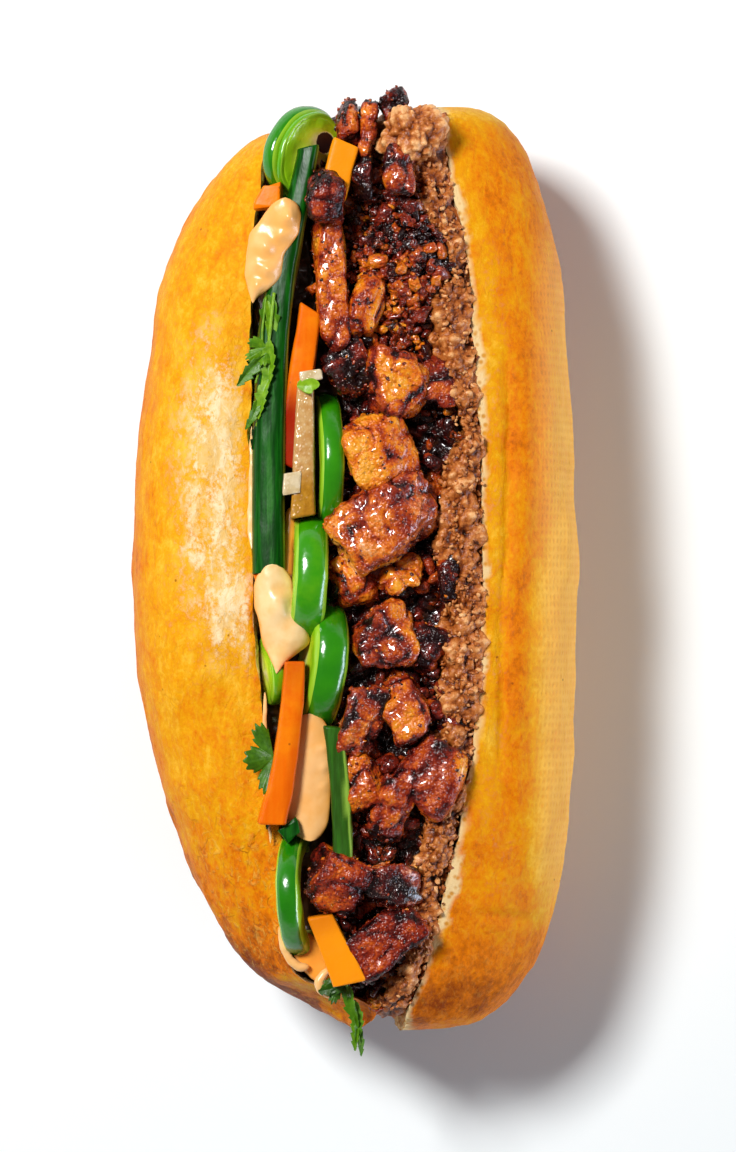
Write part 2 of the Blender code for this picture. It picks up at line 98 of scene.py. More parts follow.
# ---- light and camera ----
CAMERA_AT = (2.8 * MM, -1.5 * MM, 1.075)
CAMERA_LENS, CAMERA_SENSOR = 150, 36
KEY_FROM = (-0.46, 0.40, 1.05)
KEY_SIZE, KEY_POWER = 0.26, 16.3
FILL_FROM = (1.15, -0.34, 0.20)
FILL_SIZE, FILL_POWER = (1.0, 0.3), 8.2
FILL_COLOUR = (0.84, 0.97, 1.24)
FLOOR_COLOUR, FLOOR_REACH = (0.89, 0.925, 0.92), 3.0
# The sky's strength near the horizon and overhead, and the heights it falls between.
SKY_LOW, SKY_HIGH = 0.85, 0.09
SKY_FALL = (0.08, 0.5)
FLOOR_CORNERS = ((-1, -1), (1, -1), (1, 1), (-1, 1))


# ---- numbers that vary smoothly ----


def ease(t):
    """A smooth step from 0 to 1."""
    t = np.clip(t, 0, 1)
    return t * t * (3 - 2 * t)


def bump(t):
    """A bell of height 1 and width about 1."""
    return np.exp(-t * t)


def smooth_through(points, at):
    """A cubic through (position, value) pairs in millimetres, read at positions in metres."""
    where, value = np.array(points, float).T * MM
    slope = np.gradient(value, where)
    k = np.clip(np.searchsorted(where, at) - 1, 0, len(where) - 2)
    span = where[k + 1] - where[k]
    t = np.clip((at - where[k]) / span, 0, 1)
    rise = value[k + 1] - value[k]
    start = t * (1 - t) ** 2 * span * slope[k]
    end = -(t**2) * (1 - t) * span * slope[k + 1]
    return value[k] + rise * t * t * (3 - 2 * t) + start + end


def hashed(cell, seed):
    """A fixed random number from 0 to 1 for every lattice cell."""
    mixed = np.sin(cell @ np.array([127.1, 311.7, 74.7]) + seed * 17.13) * 43758.5453
    return mixed - np.floor(mixed)


def noise(points, size, seed=0.0):
    """Value noise from -1 to 1: random numbers at the corners of cubes, eased in between."""
    scaled = np.asarray(points) / size
    cell = np.floor(scaled)
    t = scaled - cell
    t = t * t * (3 - 2 * t)
    total = np.zeros(scaled.shape[:-1])
    for corner in np.ndindex(2, 2, 2):
        weight = np.prod(np.where(corner, t, 1 - t), axis=-1)
        total += weight * hashed(cell + np.array(corner), seed)
    return 2 * total - 1


def fractal(points, size, octaves=3, seed=0.0):
    """Octaves of noise, each half the size and half the height of the one before."""
    total = 0.0
    for octave in range(octaves):
        total = total + noise(points, size / 2**octave, seed + 7.7 * octave) / 2**octave
    return total


def pits(points, size, seed=0.0):
    """Distance to the nearest of one jittered point in each cube, as a share of the size."""
    scaled = np.asarray(points) / size
    cell = np.floor(scaled)
    nearest = np.full(scaled.shape[:-1], 9.0)
    for step in np.ndindex(3, 3, 3):
        near = cell + np.array(step) - 1
        seat = near + np.stack([hashed(near, seed + k) for k in (0.3, 1.7, 2.9)], -1)
        nearest = np.minimum(nearest, np.linalg.norm(scaled - seat, axis=-1))
    return nearest


def stretch(points, x=1.0, y=1.0, z=1.0):
    """Points with each coordinate multiplied."""
    return points * np.array([x, y, z])


def placed(x, y, z):
    """Points from their coordinates, each spread over the whole grid."""
    return np.stack(np.broadcast_arrays(x, y, z), -1)


def in_mm(points):
    """The three coordinates in millimetres."""
    return np.moveaxis(points / MM, -1, 0)


def signed_power(t, power):
    """The power of a number's size, with the number's own sign."""
    return np.sign(t) * np.abs(t) ** power


def circle(count):
    """Angles once round, the last short of the first."""
    return np.linspace(0, 2 * math.pi, count, endpoint=False)


# ---- surfaces ----


class Skin:
    """Points, four- and three-cornered faces, and one number for each point by name."""

    def __init__(self, points, quads, triangles=None, **values):
        self.points = np.asarray(points, float).reshape(-1, 3)
        self.quads = np.asarray(quads, int).reshape(-1, 4)
        none = np.zeros((0, 3), int)
        self.triangles = none if triangles is None else np.asarray(triangles, int)
        self.values = {name: np.asarray(v, float).reshape(-1) for name, v in values.items()}
        if self.volume() < 0:
            self.quads = self.quads[:, ::-1]
            self.triangles = self.triangles[:, ::-1]

    def volume(self):
        """Six times the space inside, summed over the corners of the faces."""
        halves = [self.quads[:, :3], self.quads[:, [0, 2, 3]], self.triangles]
        p = self.points[np.concatenate(halves)]
        return np.einsum("ij,ij->i", p[:, 0], np.cross(p[:, 1], p[:, 2])).sum()


def join(skins):
    """Several skins as one, with the same named numbers."""
    start = np.cumsum([0] + [len(s.points) for s in skins])
    joined = Skin.__new__(Skin)
    joined.points = np.concatenate([s.points for s in skins])
    joined.quads = np.concatenate([s.quads + k for s, k in zip(skins, start)])
    joined.triangles = np.concatenate([s.triangles + k for s, k in zip(skins, start)])
    names = skins[0].values
    joined.values = {n: np.concatenate([s.values[n] for s in skins]) for n in names}
    return joined


def shown(name, data):
    """A new object for the data, linked into the scene."""
    made = bpy.data.objects.new(name, data)
    bpy.context.scene.collection.objects.link(made)
    return made


def piece(name, skin, finish, slot, *nodes):
    """A smooth mesh object for the skin, riding on the sandwich and replacing its solids."""
    mesh = bpy.data.meshes.new(name)
    mesh.from_pydata(skin.points.tolist(), [], skin.quads.tolist() + skin.triangles.tolist())
    for label, value in skin.values.items():
        layer = mesh.attributes.new(label, "FLOAT", "POINT")
        layer.data.foreach_set("value", value.astype(np.float32))
    mesh.shade_smooth()
    mesh.materials.append(finish)
    made = shown(name, mesh)
    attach(made, "root")
    if nodes:
        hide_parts(*nodes)
    return made


def numbered_grid(rows, columns):
    """The numbers of a grid's points, row by row."""
    return np.arange(rows * columns).reshape(rows, columns)


def faces_of(number):
    """Quads between the neighbours in a grid of point numbers."""
    four = [number[:-1, :-1], number[:-1, 1:], number[1:, 1:], number[1:, :-1]]
    return np.stack(four, -1).reshape(-1, 4)


def capped(rings, **values):
    """Rings of points (rows, columns, 3), closed by a middle point at each end."""
    rows, columns = rings.shape[:2]
    ends = np.stack([rings[0].mean(axis=0), rings[-1].mean(axis=0)])
    points = np.concatenate([rings.reshape(-1, 3), ends])
    number = numbered_grid(rows, columns)
    closed = np.append(number, number[:, :1], 1)
    fans = []
    for row, middle, turn in ((closed[0], 0, 1), (closed[-1], 1, -1)):
        fan = np.stack([np.full(columns, rows * columns + middle), row[1:], row[:-1]], -1)
        fans.append(fan[:, ::turn])
    full = {}
    for name, value in values.items():
        value = np.broadcast_to(value, (rows, columns))
        full[name] = np.concatenate([value.reshape(-1), [value[0].mean(), value[-1].mean()]])
    return Skin(points, faces_of(closed), np.concatenate(fans), **full)


def rings_along(path, columns):
    """The softened line through points in millimetres, and unit rings square to it."""
    path = np.array(path, float) * MM
    t = np.linspace(0, len(path) - 1, 8 * len(path))
    line = np.stack([np.interp(t, np.arange(len(path)), path[:, k]) for k in range(3)], -1)
    for _ in range(4):
        line[1:-1] = (line[:-2] + line[1:-1] * 2 + line[2:]) / 4
    way = np.gradient(line, axis=0)
    way /= np.linalg.norm(way, axis=1, keepdims=True)
    side = np.cross(way, [0.0, 0.0, 1.0])
    side /= np.maximum(np.linalg.norm(side, axis=1, keepdims=True), 1e-9)
    up = np.cross(side, way)
    angle = circle(columns)[None, :, None]
    return line, np.cos(angle) * side[:, None] + np.sin(angle) * up[:, None]


def ball(rows, columns):
    """Unit directions on rings from the bottom to the top, poles left out."""
    up = np.linspace(-math.pi / 2, math.pi / 2, rows + 2)[1:-1][:, None]
    round_ = circle(columns)[None, :]
    return placed(np.cos(up) * np.cos(round_), np.cos(up) * np.sin(round_), np.sin(up))


def turned(points, yaw=0.0, lean=0.0, tip=0.0):
    """Points turned about X by tip, Y by lean, then Z by yaw, in degrees."""
    for angle, a, b in ((tip, 1, 2), (lean, 2, 0), (yaw, 0, 1)):
        c, s = math.cos(math.radians(angle)), math.sin(math.radians(angle))
        moved = points.copy()
        moved[..., a] = c * points[..., a] - s * points[..., b]
        moved[..., b] = s * points[..., a] + c * points[..., b]
        points = moved
    return points


def middle_of(node):
    """The middle of a solid's box."""
    low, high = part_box(node)
    return (np.array(low) + np.array(high)) / 2


def scatter(template, places, sizes, draw, **values):
    """A copy of the small skin at every place, each with its own size and turn."""
    count = len(places)
    spin = draw.normal(size=(count, 3, 3))
    axes, _ = np.linalg.qr(spin)
    axes = axes * np.sign(np.linalg.det(axes))[:, None, None]
    points = np.einsum("nij,vj->nvi", axes, template.points) * sizes[:, None, None]
    points = points + places[:, None, :]
    step = len(template.points) * np.arange(count)[:, None, None]
    full = {n: np.repeat(v, len(template.points)) for n, v in values.items()}
    return Skin(points, template.quads + step, (template.triangles + step).reshape(-1, 3), **full)


# ---- shader expressions ----


def arithmetic(operation, swapped=False):
    """A method that joins a shader value and another number by one operation."""

    def method(self, other):
        return self.maths(operation, *((other, self) if swapped else (self, other)))

    return method


class Value:
    """A node's output that takes part in Python arithmetic."""

    def __init__(self, finish, socket):
        self.finish, self.socket = finish, socket

    def maths(self, operation, *operands, clamp=False):
        settings = {"operation": operation, "use_clamp": clamp}
        return self.finish.node("ShaderNodeMath", settings, dict(enumerate(operands)))

    __add__, __radd__ = arithmetic("ADD"), arithmetic("ADD", swapped=True)
    __sub__, __rsub__ = arithmetic("SUBTRACT"), arithmetic("SUBTRACT", swapped=True)
    __mul__ = arithmetic("MULTIPLY")

    def clamp(self):
        return self.maths("ADD", self, 0.0, clamp=True)

    def sine(self):
        return self.maths("SINE", self)

    def above(self, low, high):
        """0 under the low level, 1 over the high one, smooth between."""
        sockets = {"Value": self, "From Min": low, "From Max": high}
        settings = {"interpolation_type": "SMOOTHSTEP"}
        return self.finish.node("ShaderNodeMapRange", settings, sockets)


class Finish:
    """A material: its Principled shader and the nodes that feed it."""

    def __init__(self, name, **constants):
        self.material = bpy.data.materials.new(name)
        self.material.use_nodes = True
        self.tree = self.material.node_tree
        self.shader = self.tree.nodes["Principled BSDF"]
        for label, value in constants.items():
            self.shader.inputs[label.replace("_", " ")].default_value = value

    def node(self, kind, settings=None, sockets=None, output=0):
        """Any node: its settings first, then the values or links of its sockets."""
        made = self.tree.nodes.new(kind)
        for label, value in (settings or {}).items():
            setattr(made, label, value)
        for label, value in (sockets or {}).items():
            self.plug(made.inputs[label], value)
        return Value(self, made.outputs[output])

    def plug(self, socket, value):
        if isinstance(value, Value):
            self.tree.links.new(value.socket, socket)
        else:
            socket.default_value = value

    def feed(self, **sockets):
        for label, value in sockets.items():
            self.plug(self.shader.inputs[label.replace("_", " ")], value)
        return self.material

    def place(self):
        """Where a point lies on the piece itself, in metres."""
        return self.node("ShaderNodeTexCoord", output="Object")

    def numbers(self, *names):
        """The piece's own numbers for each point, one for every name."""
        own = [{"attribute_name": name} for name in names]
        return [self.node("ShaderNodeAttribute", name, output="Fac") for name in own]

    def grain(self, size, detail=3.0, rough=0.55, along=1.0, distortion=0.0):
        """Noise from 0 to 1 in patches of about the given size in metres.

        The smaller along is, the longer the patches are in the direction of Y.
        """
        sockets = {
            "Vector": self.place() if along == 1.0 else self.scaled(along),
            "Scale": 1 / size, "Detail": detail, "Roughness": rough, "Distortion": distortion,
        }
        return self.node("ShaderNodeTexNoise", None, sockets, "Fac")

    def cells(self, size, where=None, feature="F1"):
        """Distance in a pattern of cells of the given size in metres."""
        sockets = {"Vector": where or self.place(), "Scale": 1 / size}
        return self.node("ShaderNodeTexVoronoi", {"feature": feature}, sockets, "Distance")

    def scaled(self, along):
        """The place, with its Y multiplied."""
        sockets = {0: self.place(), 1: (1.0, along, 1.0)}
        return self.node("ShaderNodeVectorMath", {"operation": "MULTIPLY"}, sockets)

    def mix(self, share, a, b):
        """Colour a turning into colour b."""
        a, b = (c if isinstance(c, Value) else (*c, 1.0) for c in (a, b))
        return self.node("ShaderNodeMix", {"data_type": "RGBA"}, {0: share, 6: a, 7: b}, 2)

    def shades(self, level, stops):
        """The colour that a ramp's (position, colour) stops give at a level from 0 to 1."""
        made = self.node("ShaderNodeValToRGB", None, {0: level})
        elements = made.socket.node.color_ramp.elements
        while len(elements) < len(stops):
            elements.new(0.5)
        for element, (position, colour) in zip(elements, stops):
            element.position, element.color = position, (*colour, 1.0)
        return made

    def relief(self, height, distance, below=None):
        sockets = {"Height": height, "Distance": distance}
        if below:
            sockets["Normal"] = below
        return self.node("ShaderNodeBump", None, sockets)


# ---- finishes ----

CREAM = (0.89, 0.51, 0.045)
GOLD = (0.76, 0.335, 0.002)
ORANGE = (0.70, 0.170, 0.001)
BROWN = (0.24, 0.040, 0.002)
GLAZED_PALE = (0.88, 0.70, 0.42)
GLAZED_TAN = (0.78, 0.49, 0.16)
PALE_SIDE = (0.97, 0.45, 0.11)
CRUMB = (0.80, 0.60, 0.30)
CRUMB_PIT = (0.58, 0.27, 0.05)
FLAKE = (0.82, 0.44, 0.07)
PLATE_EDGE = (0.46, 0.12, 0.004)
DARK_SPECK = (0.20, 0.035, 0.003)
DOTS_ALONG, DOTS_ROUND = 3.4 * MM, 2.4 * MM
# Ramps: a level from 0 to 1, and the colour there.
CRUST_RAMP = ((0.0, CREAM), (0.30, GOLD), (0.62, ORANGE), (1.0, BROWN))
PATE_RAMP = (
    (0.0, (0.014, 0.003, 0.001)), (0.25, (0.15, 0.026, 0.003)), (0.50, (0.39, 0.100, 0.014)),
    (0.75, (0.57, 0.195, 0.047)), (1.0, (0.82, 0.42, 0.165)),
)
CHICKEN_RAMP = (
    (0.0, (0.006, 0.001, 0.0015)), (0.20, (0.06, 0.004, 0.003)), (0.40, (0.23, 0.016, 0.005)),
    (0.58, (0.45, 0.060, 0.005)), (0.76, (0.68, 0.155, 0.005)), (0.90, (0.77, 0.235, 0.007)),
    (1.0, (0.83, 0.33, 0.022)),
)
BURNT = (0.013, 0.0028, 0.003)
PALE_MEAT = (0.80, 0.37, 0.22)
# Colour of the painted glints: highlights painted into the wet glaze.
GLINT = (0.86, 0.62, 0.54)
CHILLI_SKIN_RAMP = (
    (0.0, (0.006, 0.105, 0.001)), (0.4, (0.013, 0.185, 0.001)), (0.75, (0.035, 0.27, 0.001)),
    (1.0, (0.12, 0.38, 0.002)),
)
CHILLI_FLESH_RAMP = (
    (0.0, (0.32, 0.55, 0.03)), (0.25, (0.24, 0.55, 0.006)), (0.5, (0.44, 0.72, 0.012)),
    (0.75, (0.68, 0.82, 0.05)), (1.0, (0.86, 0.80, 0.36)),
)
# The seed hole's shade, painted as a near-black patch on the web.
SEED_HOLE = (0.012, 0.003, 0.003)
LEAF_RAMP = (
    (0.0, (0.005, 0.022, 0.001)), (0.35, (0.022, 0.085, 0.001)), (0.65, (0.07, 0.20, 0.002)),
    (1.0, (0.24, 0.44, 0.008)),
)


def crust_finish():
    """Baked crust from cream through gold to brown, mottled, with tray dots, pale crumb, and pale
    glazed patches that are partly painted glare.
    """
    f = Finish("crust", Specular_IOR_Level=0.06)
    bake, crumb, tray = f.numbers("bake", "crumb", "tray")
    blister, flakes, arc = f.numbers("blister", "flakes", "arc")
    patches = f.grain(4.5 * MM, 4.0, 0.6, 0.7)
    mottle = f.grain(1.0 * MM, 4.0, 0.7, 0.8)
    creases = f.grain(3.0 * MM, 5.0, 0.7, 0.45, 1.0)
    broad = (patches - 0.5) * (flakes * 0.35 + 0.62) + (creases - 0.5) * (flakes * 0.35 + 0.45)
    level = bake + broad + (mottle - 0.5) * 0.70
    along = f.node("ShaderNodeSeparateXYZ", None, {0: f.place()}, 1)
    rows = (arc * (2 * math.pi / DOTS_ROUND)).sine()
    dots = rows * (along * (2 * math.pi / DOTS_ALONG)).sine()
    dots = dots * dots * tray
    level += dots * 0.25
    crust = f.shades(level.clamp(), CRUST_RAMP)
    # The pale outer side: partly the tray side's own colour, partly painted light where the lamps
    # reach it little.
    crust = f.mix(tray * 0.55, crust, PALE_SIDE)
    clouds = f.grain(6.0 * MM, 4.0, 0.62, 0.6, 0.3)
    # Pale glazed patches: partly a thin glazed skin, partly painted glare where the highlight
    # falls.
    veil = (blister * 0.85 + (clouds - 0.5) * 2.2 + (mottle - 0.5) * 3.0).above(0.25, 1.05)
    glazed = f.mix(creases.above(0.38, 0.62), GLAZED_TAN, GLAZED_PALE)
    crust = f.mix(veil * blister.clamp(), crust, glazed)
    flake = f.grain(1.7 * MM, 3.0, 0.6, 0.7, 1.2)
    lifted = flake.above(0.52, 0.68)
    crust = f.mix(lifted * flakes * 0.42, crust, FLAKE)
    drift = f.node("ShaderNodeTexNoise", None, {"Vector": f.place(), "Scale": 400.0}, "Color")
    shifted = {0: drift, 1: (2.4 * MM,) * 3, 2: f.scaled(0.7)}
    shifted = f.node("ShaderNodeVectorMath", {"operation": "MULTIPLY_ADD"}, shifted)
    plates = f.cells(6.5 * MM, shifted, "DISTANCE_TO_EDGE").above(0.035, 0.005)
    plates = plates * flakes * f.grain(5.0 * MM, 2.0).above(0.46, 0.60)
    crust = f.mix(plates * 0.40, crust, PLATE_EDGE)
    specks = f.cells(7.5 * MM).above(0.05, 0.02)
    crust = f.mix(specks * 0.7, crust, DARK_SPECK)
    pores = f.cells(1.5 * MM).above(0.15, 0.5)
    colour = f.mix(crumb, crust, f.mix(pores, CRUMB_PIT, CRUMB))
    rough = 0.50 - veil * 0.10 + crumb * 0.35
    normal = f.relief(mottle, 0.20 * MM)
    normal = f.relief(creases, 0.45 * MM, below=normal)
    normal = f.relief(lifted * flakes - dots - plates, 0.14 * MM, below=normal)
    return f.feed(Base_Color=colour, Roughness=rough, Normal=normal)


def pate_finish():
    """Coarse moist spread: tan grains, rusty and dark ones among them, and dark pits that are
    painted shade.
    """
    f = Finish("pate", Specular_IOR_Level=0.34)
    (tone,) = f.numbers("tone")
    fine = f.grain(0.55 * MM, 4.0, 0.7)
    level = tone + (fine - 0.5) * 1.0 + (f.grain(4.0 * MM, 2.0) - 0.5) * 0.4
    colour = f.shades(level.clamp(), PATE_RAMP)
    normal = f.relief(f.grain(0.8 * MM, 2.0), 0.30 * MM)
    return f.feed(Base_Color=colour, Roughness=0.60 - fine * 0.45, Normal=normal)


def chicken_finish():
    """Glazed grilled meat: amber where cut, dark red where glazed, black where charred, with
    painted glints and a pale pink that is partly painted sheen.
    """
    f = Finish("chicken", Specular_IOR_Level=0.32, Coat_Roughness=0.08, Coat_IOR=1.5)
    tone, char, pink = f.numbers("tone", "char", "pink")
    fibres = f.grain(2.4 * MM, 4.0, 0.62, distortion=0.5)
    fine = f.grain(0.6 * MM, 4.0, 0.7)
    level = tone + (fibres - 0.5) * 0.85 + (fine - 0.5) * 0.75
    colour = f.shades(level.clamp(), CHICKEN_RAMP)
    burnt = (char + (fine - 0.5) * 1.1 + (fibres - 0.5) * 0.8).above(0.52, 0.80)
    colour = f.mix(burnt, colour, BURNT)
    # Pale pink on the high parts of some pieces: partly the meat's own colour, partly painted
    # sheen.
    pale = (pink + (fine - 0.5) * 1.3 + (fibres - 0.5) * 0.9).above(0.42, 0.95)
    colour = f.mix(pale * 0.80, colour, PALE_MEAT)
    # Painted glints: tiny pale-pink highlights painted into the colour where the glaze is wet.
    glints = f.grain(0.42 * MM, 1.0).above(0.64, 0.74) * f.grain(3.0 * MM, 2.0).above(0.42, 0.62)
    wet = pink.above(-0.75, -0.05)
    colour = f.mix(glints * wet * 0.70, colour, GLINT)
    beads = f.grain(0.9 * MM, 1.0)
    drops = f.cells(0.8 * MM)
    normal = f.relief(beads, 0.55 * MM)
    normal = f.relief(drops, -0.22 * MM, below=normal)
    return f.feed(
        Base_Color=colour, Roughness=0.16 + fibres * 0.18, Coat_Weight=wet * 0.8, Normal=normal
    )


def mayo_finish():
    """Smooth wet sauce, and the dark sauce down in the gaps, whose darkness is painted shade."""
    f = Finish("mayo", Roughness=0.30, Specular_IOR_Level=0.55)
    deep, thin = f.numbers("deep", "thin")
    clouds = f.grain(5 * MM, 3.0)
    colour = f.mix(clouds.above(0.3, 0.7), (0.88, 0.50, 0.17), (0.93, 0.65, 0.32))
    colour = f.mix(thin, colour, (0.90, 0.34, 0.035))
    # Painted shade: the sauce down in the gaps is coloured near-black brown.
    stained = f.mix(f.grain(1.5 * MM, 3.0), (0.010, 0.004, 0.002), (0.10, 0.035, 0.006))
    colour = f.mix(deep, colour, stained)
    return f.feed(Base_Color=colour, Normal=f.relief(clouds, 0.25 * MM))


def carrot_finish():
    """Moist cut carrot, streaked along its length and darker where it lies in shade."""
    f = Finish("carrot", Specular_IOR_Level=0.10)
    streaks = f.grain(1.0 * MM, 3.0, 0.55, 0.14)
    blotch = f.grain(5.0 * MM, 3.0)
    shade, face = f.numbers("shade", "face")
    colour = f.mix(streaks, (0.76, 0.10, 0.001), (0.82, 0.18, 0.001))
    colour = f.mix(blotch.above(0.4, 0.7) * 0.5, colour, (0.86, 0.25, 0.002))
    colour = f.mix(face, colour, (0.92, 0.31, 0.004))
    colour = f.mix(shade, colour, (0.30, 0.008, 0.001))
    specks = f.cells(4.0 * MM).above(0.10, 0.04)
    colour = f.mix(specks * 0.7, colour, (0.25, 0.05, 0.002))
    normal = f.relief(f.grain(0.7 * MM, 3.0), 0.06 * MM)
    return f.feed(Base_Color=colour, Roughness=0.24 + streaks * 0.22, Normal=normal)


def daikon_finish():
    """Pickled radish, faintly mottled and glassy, with pale specks that are partly painted glints,
    and painted shade in brown where it goes deep.
    """
    f = Finish("daikon", Roughness=0.10, Specular_IOR_Level=0.7)
    mottle = f.grain(1.6 * MM, 2.0, 0.5)
    # Pale specks: partly bubbles in the flesh, partly painted glints.
    bubbles = f.cells(0.9 * MM).above(0.34, 0.16)
    shade, pale = f.numbers("shade", "pale")
    colour = f.mix(mottle.above(0.3, 0.7), (0.50, 0.24, 0.065), (0.60, 0.36, 0.14))
    colour = f.mix(bubbles * 0.5, colour, (0.76, 0.58, 0.36))
    clear = f.mix(mottle.above(0.3, 0.7), (0.58, 0.46, 0.24), (0.72, 0.62, 0.42))
    colour = f.mix(pale, colour, clear)
    # Painted shade: darker brown where the stick goes deep.
    stain = f.mix(mottle, (0.22, 0.075, 0.002), (0.62, 0.28, 0.008))
    colour = f.mix(shade, colour, stain)
    return f.feed(Base_Color=colour, Normal=f.relief(f.grain(0.9 * MM, 2.0), 0.22 * MM))


def cucumber_finish():
    """Dark waxy skin streaked along its length, with broken pale streaks of painted sheen near its
    ridge, and light flesh where cut.
    """
    f = Finish("cucumber", Specular_IOR_Level=0.16)
    flesh, ridge = f.numbers("flesh", "ridge")
    streaks = f.grain(0.9 * MM, 4.0, 0.65, 0.07)
    broken = f.grain(5.0 * MM, 4.0, 0.6, 0.45)
    skin = f.mix(streaks.above(0.4, 0.7), (0.0016, 0.040, 0.0014), (0.005, 0.105, 0.003))
    # Painted sheen: paler green streaks along the ridge of the skin.
    sheen = (broken * 0.7 + streaks * 0.6 + ridge * 0.5).above(1.02, 1.36)
    skin = f.mix(sheen * 0.6, skin, (0.045, 0.20, 0.022))
    pulp = f.mix(streaks, (0.10, 0.27, 0.010), (0.34, 0.50, 0.07))
    colour = f.mix(flesh, skin, pulp)
    normal = f.relief(broken, 0.2 * MM)
    return f.feed(Base_Color=colour, Roughness=0.20 + streaks * 0.2, Normal=normal)


def jalapeno_finish():
    """Bright glossy skin, and a cut face from pale rim through green to the yellow web."""
    f = Finish("jalapeno", Specular_IOR_Level=0.85)
    flesh, tone = f.numbers("flesh", "tone")
    patches = f.grain(6 * MM, 3.0)
    level = tone + (patches - 0.5) * 0.5
    skin = f.shades(level.clamp(), CHILLI_SKIN_RAMP)
    fine = f.grain(0.8 * MM, 3.0)
    pulp = f.shades((flesh + (fine - 0.5) * 0.12).clamp(), CHILLI_FLESH_RAMP)
    colour = f.mix(flesh.above(0.0, 0.015), skin, pulp)
    colour = f.mix(flesh.above(1.05, 1.3), colour, SEED_HOLE)
    normal = f.relief(patches, 0.35 * MM)
    return f.feed(Base_Color=colour, Roughness=(0.19 + flesh * 0.14).clamp(), Normal=normal)


def herb_finish():
    """Thin fresh leaf: veined, from dark to yellow-green."""
    f = Finish("herb", Specular_IOR_Level=0.4)
    (tone,) = f.numbers("tone")
    veins = f.grain(1.2 * MM, 3.0, 0.6)
    level = tone + (veins - 0.5) * 0.6
    colour = f.shades(level.clamp(), LEAF_RAMP)
    normal = f.relief(veins, 0.12 * MM)
    return f.feed(Base_Color=colour, Roughness=0.3 + veins * 0.2, Normal=normal)


# ---- the roll's two surfaces ----


def lip_height(y):
    """How high the two lips stand: lower towards both noses."""
    return LIP_HEIGHT - LIP_DROP * np.abs(y / (100 * MM)) ** 4


def lip_place(around, y):
    """How far across a lip lies; high up, the left one takes in its tongue."""
    tongue = smooth_through(LEFT_TONGUE, y) * ease((np.abs(around) - TONGUE_SHARE) / 0.4)
    return np.where(around < 0, smooth_through(LEFT_LIP, y) + tongue, smooth_through(RIGHT_LIP, y))


def pocket_wall(around, y):
    """The cut face at a share around the U: up from the floor, then almost straight."""
    rise = np.abs(around)
    out = np.sin(np.minimum(rise, 1) ** WALL_BEND * math.pi / 2)
    x = POCKET_MIDDLE + (lip_place(around, y) - POCKET_MIDDLE) * out
    z = HINGE_TOP + (lip_height(y) - HINGE_TOP) * rise
    return x, z


def crust_line(around, y):
    """The full crust: a flat foot, a quarter out to the belly and a quarter in to the lip."""
    rise = np.abs(around)
    left = around < 0
    lip = lip_place(around, y)
    foot = np.where(left, FOOT_LEFT, FOOT_RIGHT)
    widest = np.where(left, -HALF_WIDTH, HALF_WIDTH)
    power = np.where(left, BELLY_LEFT, BELLY_RIGHT)
    low = np.clip((rise - FOOT_SHARE) / (WIDEST_SHARE - FOOT_SHARE), 0, 1) * math.pi / 2
    high = np.clip((rise - WIDEST_SHARE) / (1 - WIDEST_SHARE), 0, 1) * math.pi / 2
    x = np.where(
        rise < WIDEST_SHARE,
        widest + (foot - widest) * (1 - np.sin(low) ** power),
        lip + (widest - lip) * np.cos(high) ** power,
    )
    x = np.where(rise < FOOT_SHARE, foot * rise / FOOT_SHARE, x)
    z = np.where(
        rise < WIDEST_SHARE,
        WIDEST_HEIGHT * (1 - np.cos(low) ** power),
        WIDEST_HEIGHT + (lip_height(y) - WIDEST_HEIGHT) * np.sin(high) ** power,
    )
    return x, z


def nose(around, near):
    """How far the roll reaches towards one end, and the taper's two powers there."""
    rise = np.abs(around)
    left, right = (NOSE_LEFT_NEAR, NOSE_RIGHT_NEAR) if near else (NOSE_LEFT_FAR, NOSE_RIGHT_FAR)
    share = ease(around / NOSE_BLEND + 0.5)
    reach, taper, round_power = (a + (b - a) * share for a, b in zip(left, right))
    back_low = HINGE_BACK * np.clip(1 - rise / NOSE_SHARE, 0, 1) ** 2
    back_high = LIP_BACK * np.clip((rise - NOSE_SHARE) / (1 - NOSE_SHARE), 0, 1) ** 2
    return reach - back_low - back_high, taper, round_power


def roll_surfaces(around, along):
    """Outer and inner points: the crust closes onto the cut face towards both noses."""
    far, far_taper, far_round = nose(around, near=False)
    near, near_taper, near_round = nose(around, near=True)
    swing = np.sin(along * math.pi / 2)
    y = (far - near) / 2 + (far + near) / 2 * swing
    taper = np.where(along < 0, near_taper, far_taper)
    round_power = np.where(along < 0, near_round, far_round)
    full = np.clip(1 - np.abs(swing) ** taper, 0, 1) ** round_power
    inner_x, inner_z = pocket_wall(around, y)
    outer_x, outer_z = crust_line(around, y)
    outer_x = inner_x + (outer_x - inner_x) * full
    outer_z = inner_z + (outer_z - inner_z) * full
    outer_z = np.maximum(outer_z - SETTLE, 0)
    inner_z = inner_z - SETTLE
    edge = (np.abs(along) == 1) | (np.abs(around) == 1)
    outer_z = np.where(edge, inner_z, outer_z)
    return placed(outer_x, y, outer_z), placed(inner_x, y, inner_z)


def normals_of(points, along=None):
    """Unit normals of a grid, from its differences down the rows and along the columns."""
    along = np.gradient(points, axis=1) if along is None else along
    normal = np.cross(np.gradient(points, axis=0), along)
    return normal / np.maximum(np.linalg.norm(normal, axis=-1, keepdims=True), 1e-12)


def swollen(points, lift):
    """Closed rings moved out along their normals by the lift, away from their middle."""
    normal = normals_of(points, np.roll(points, -1, axis=1) - np.roll(points, 1, axis=1))
    out = np.einsum("ijk,ijk->ij", normal, points - points.mean(axis=(0, 1))).mean()
    return points + normal * (np.sign(out) * lift)[..., None]


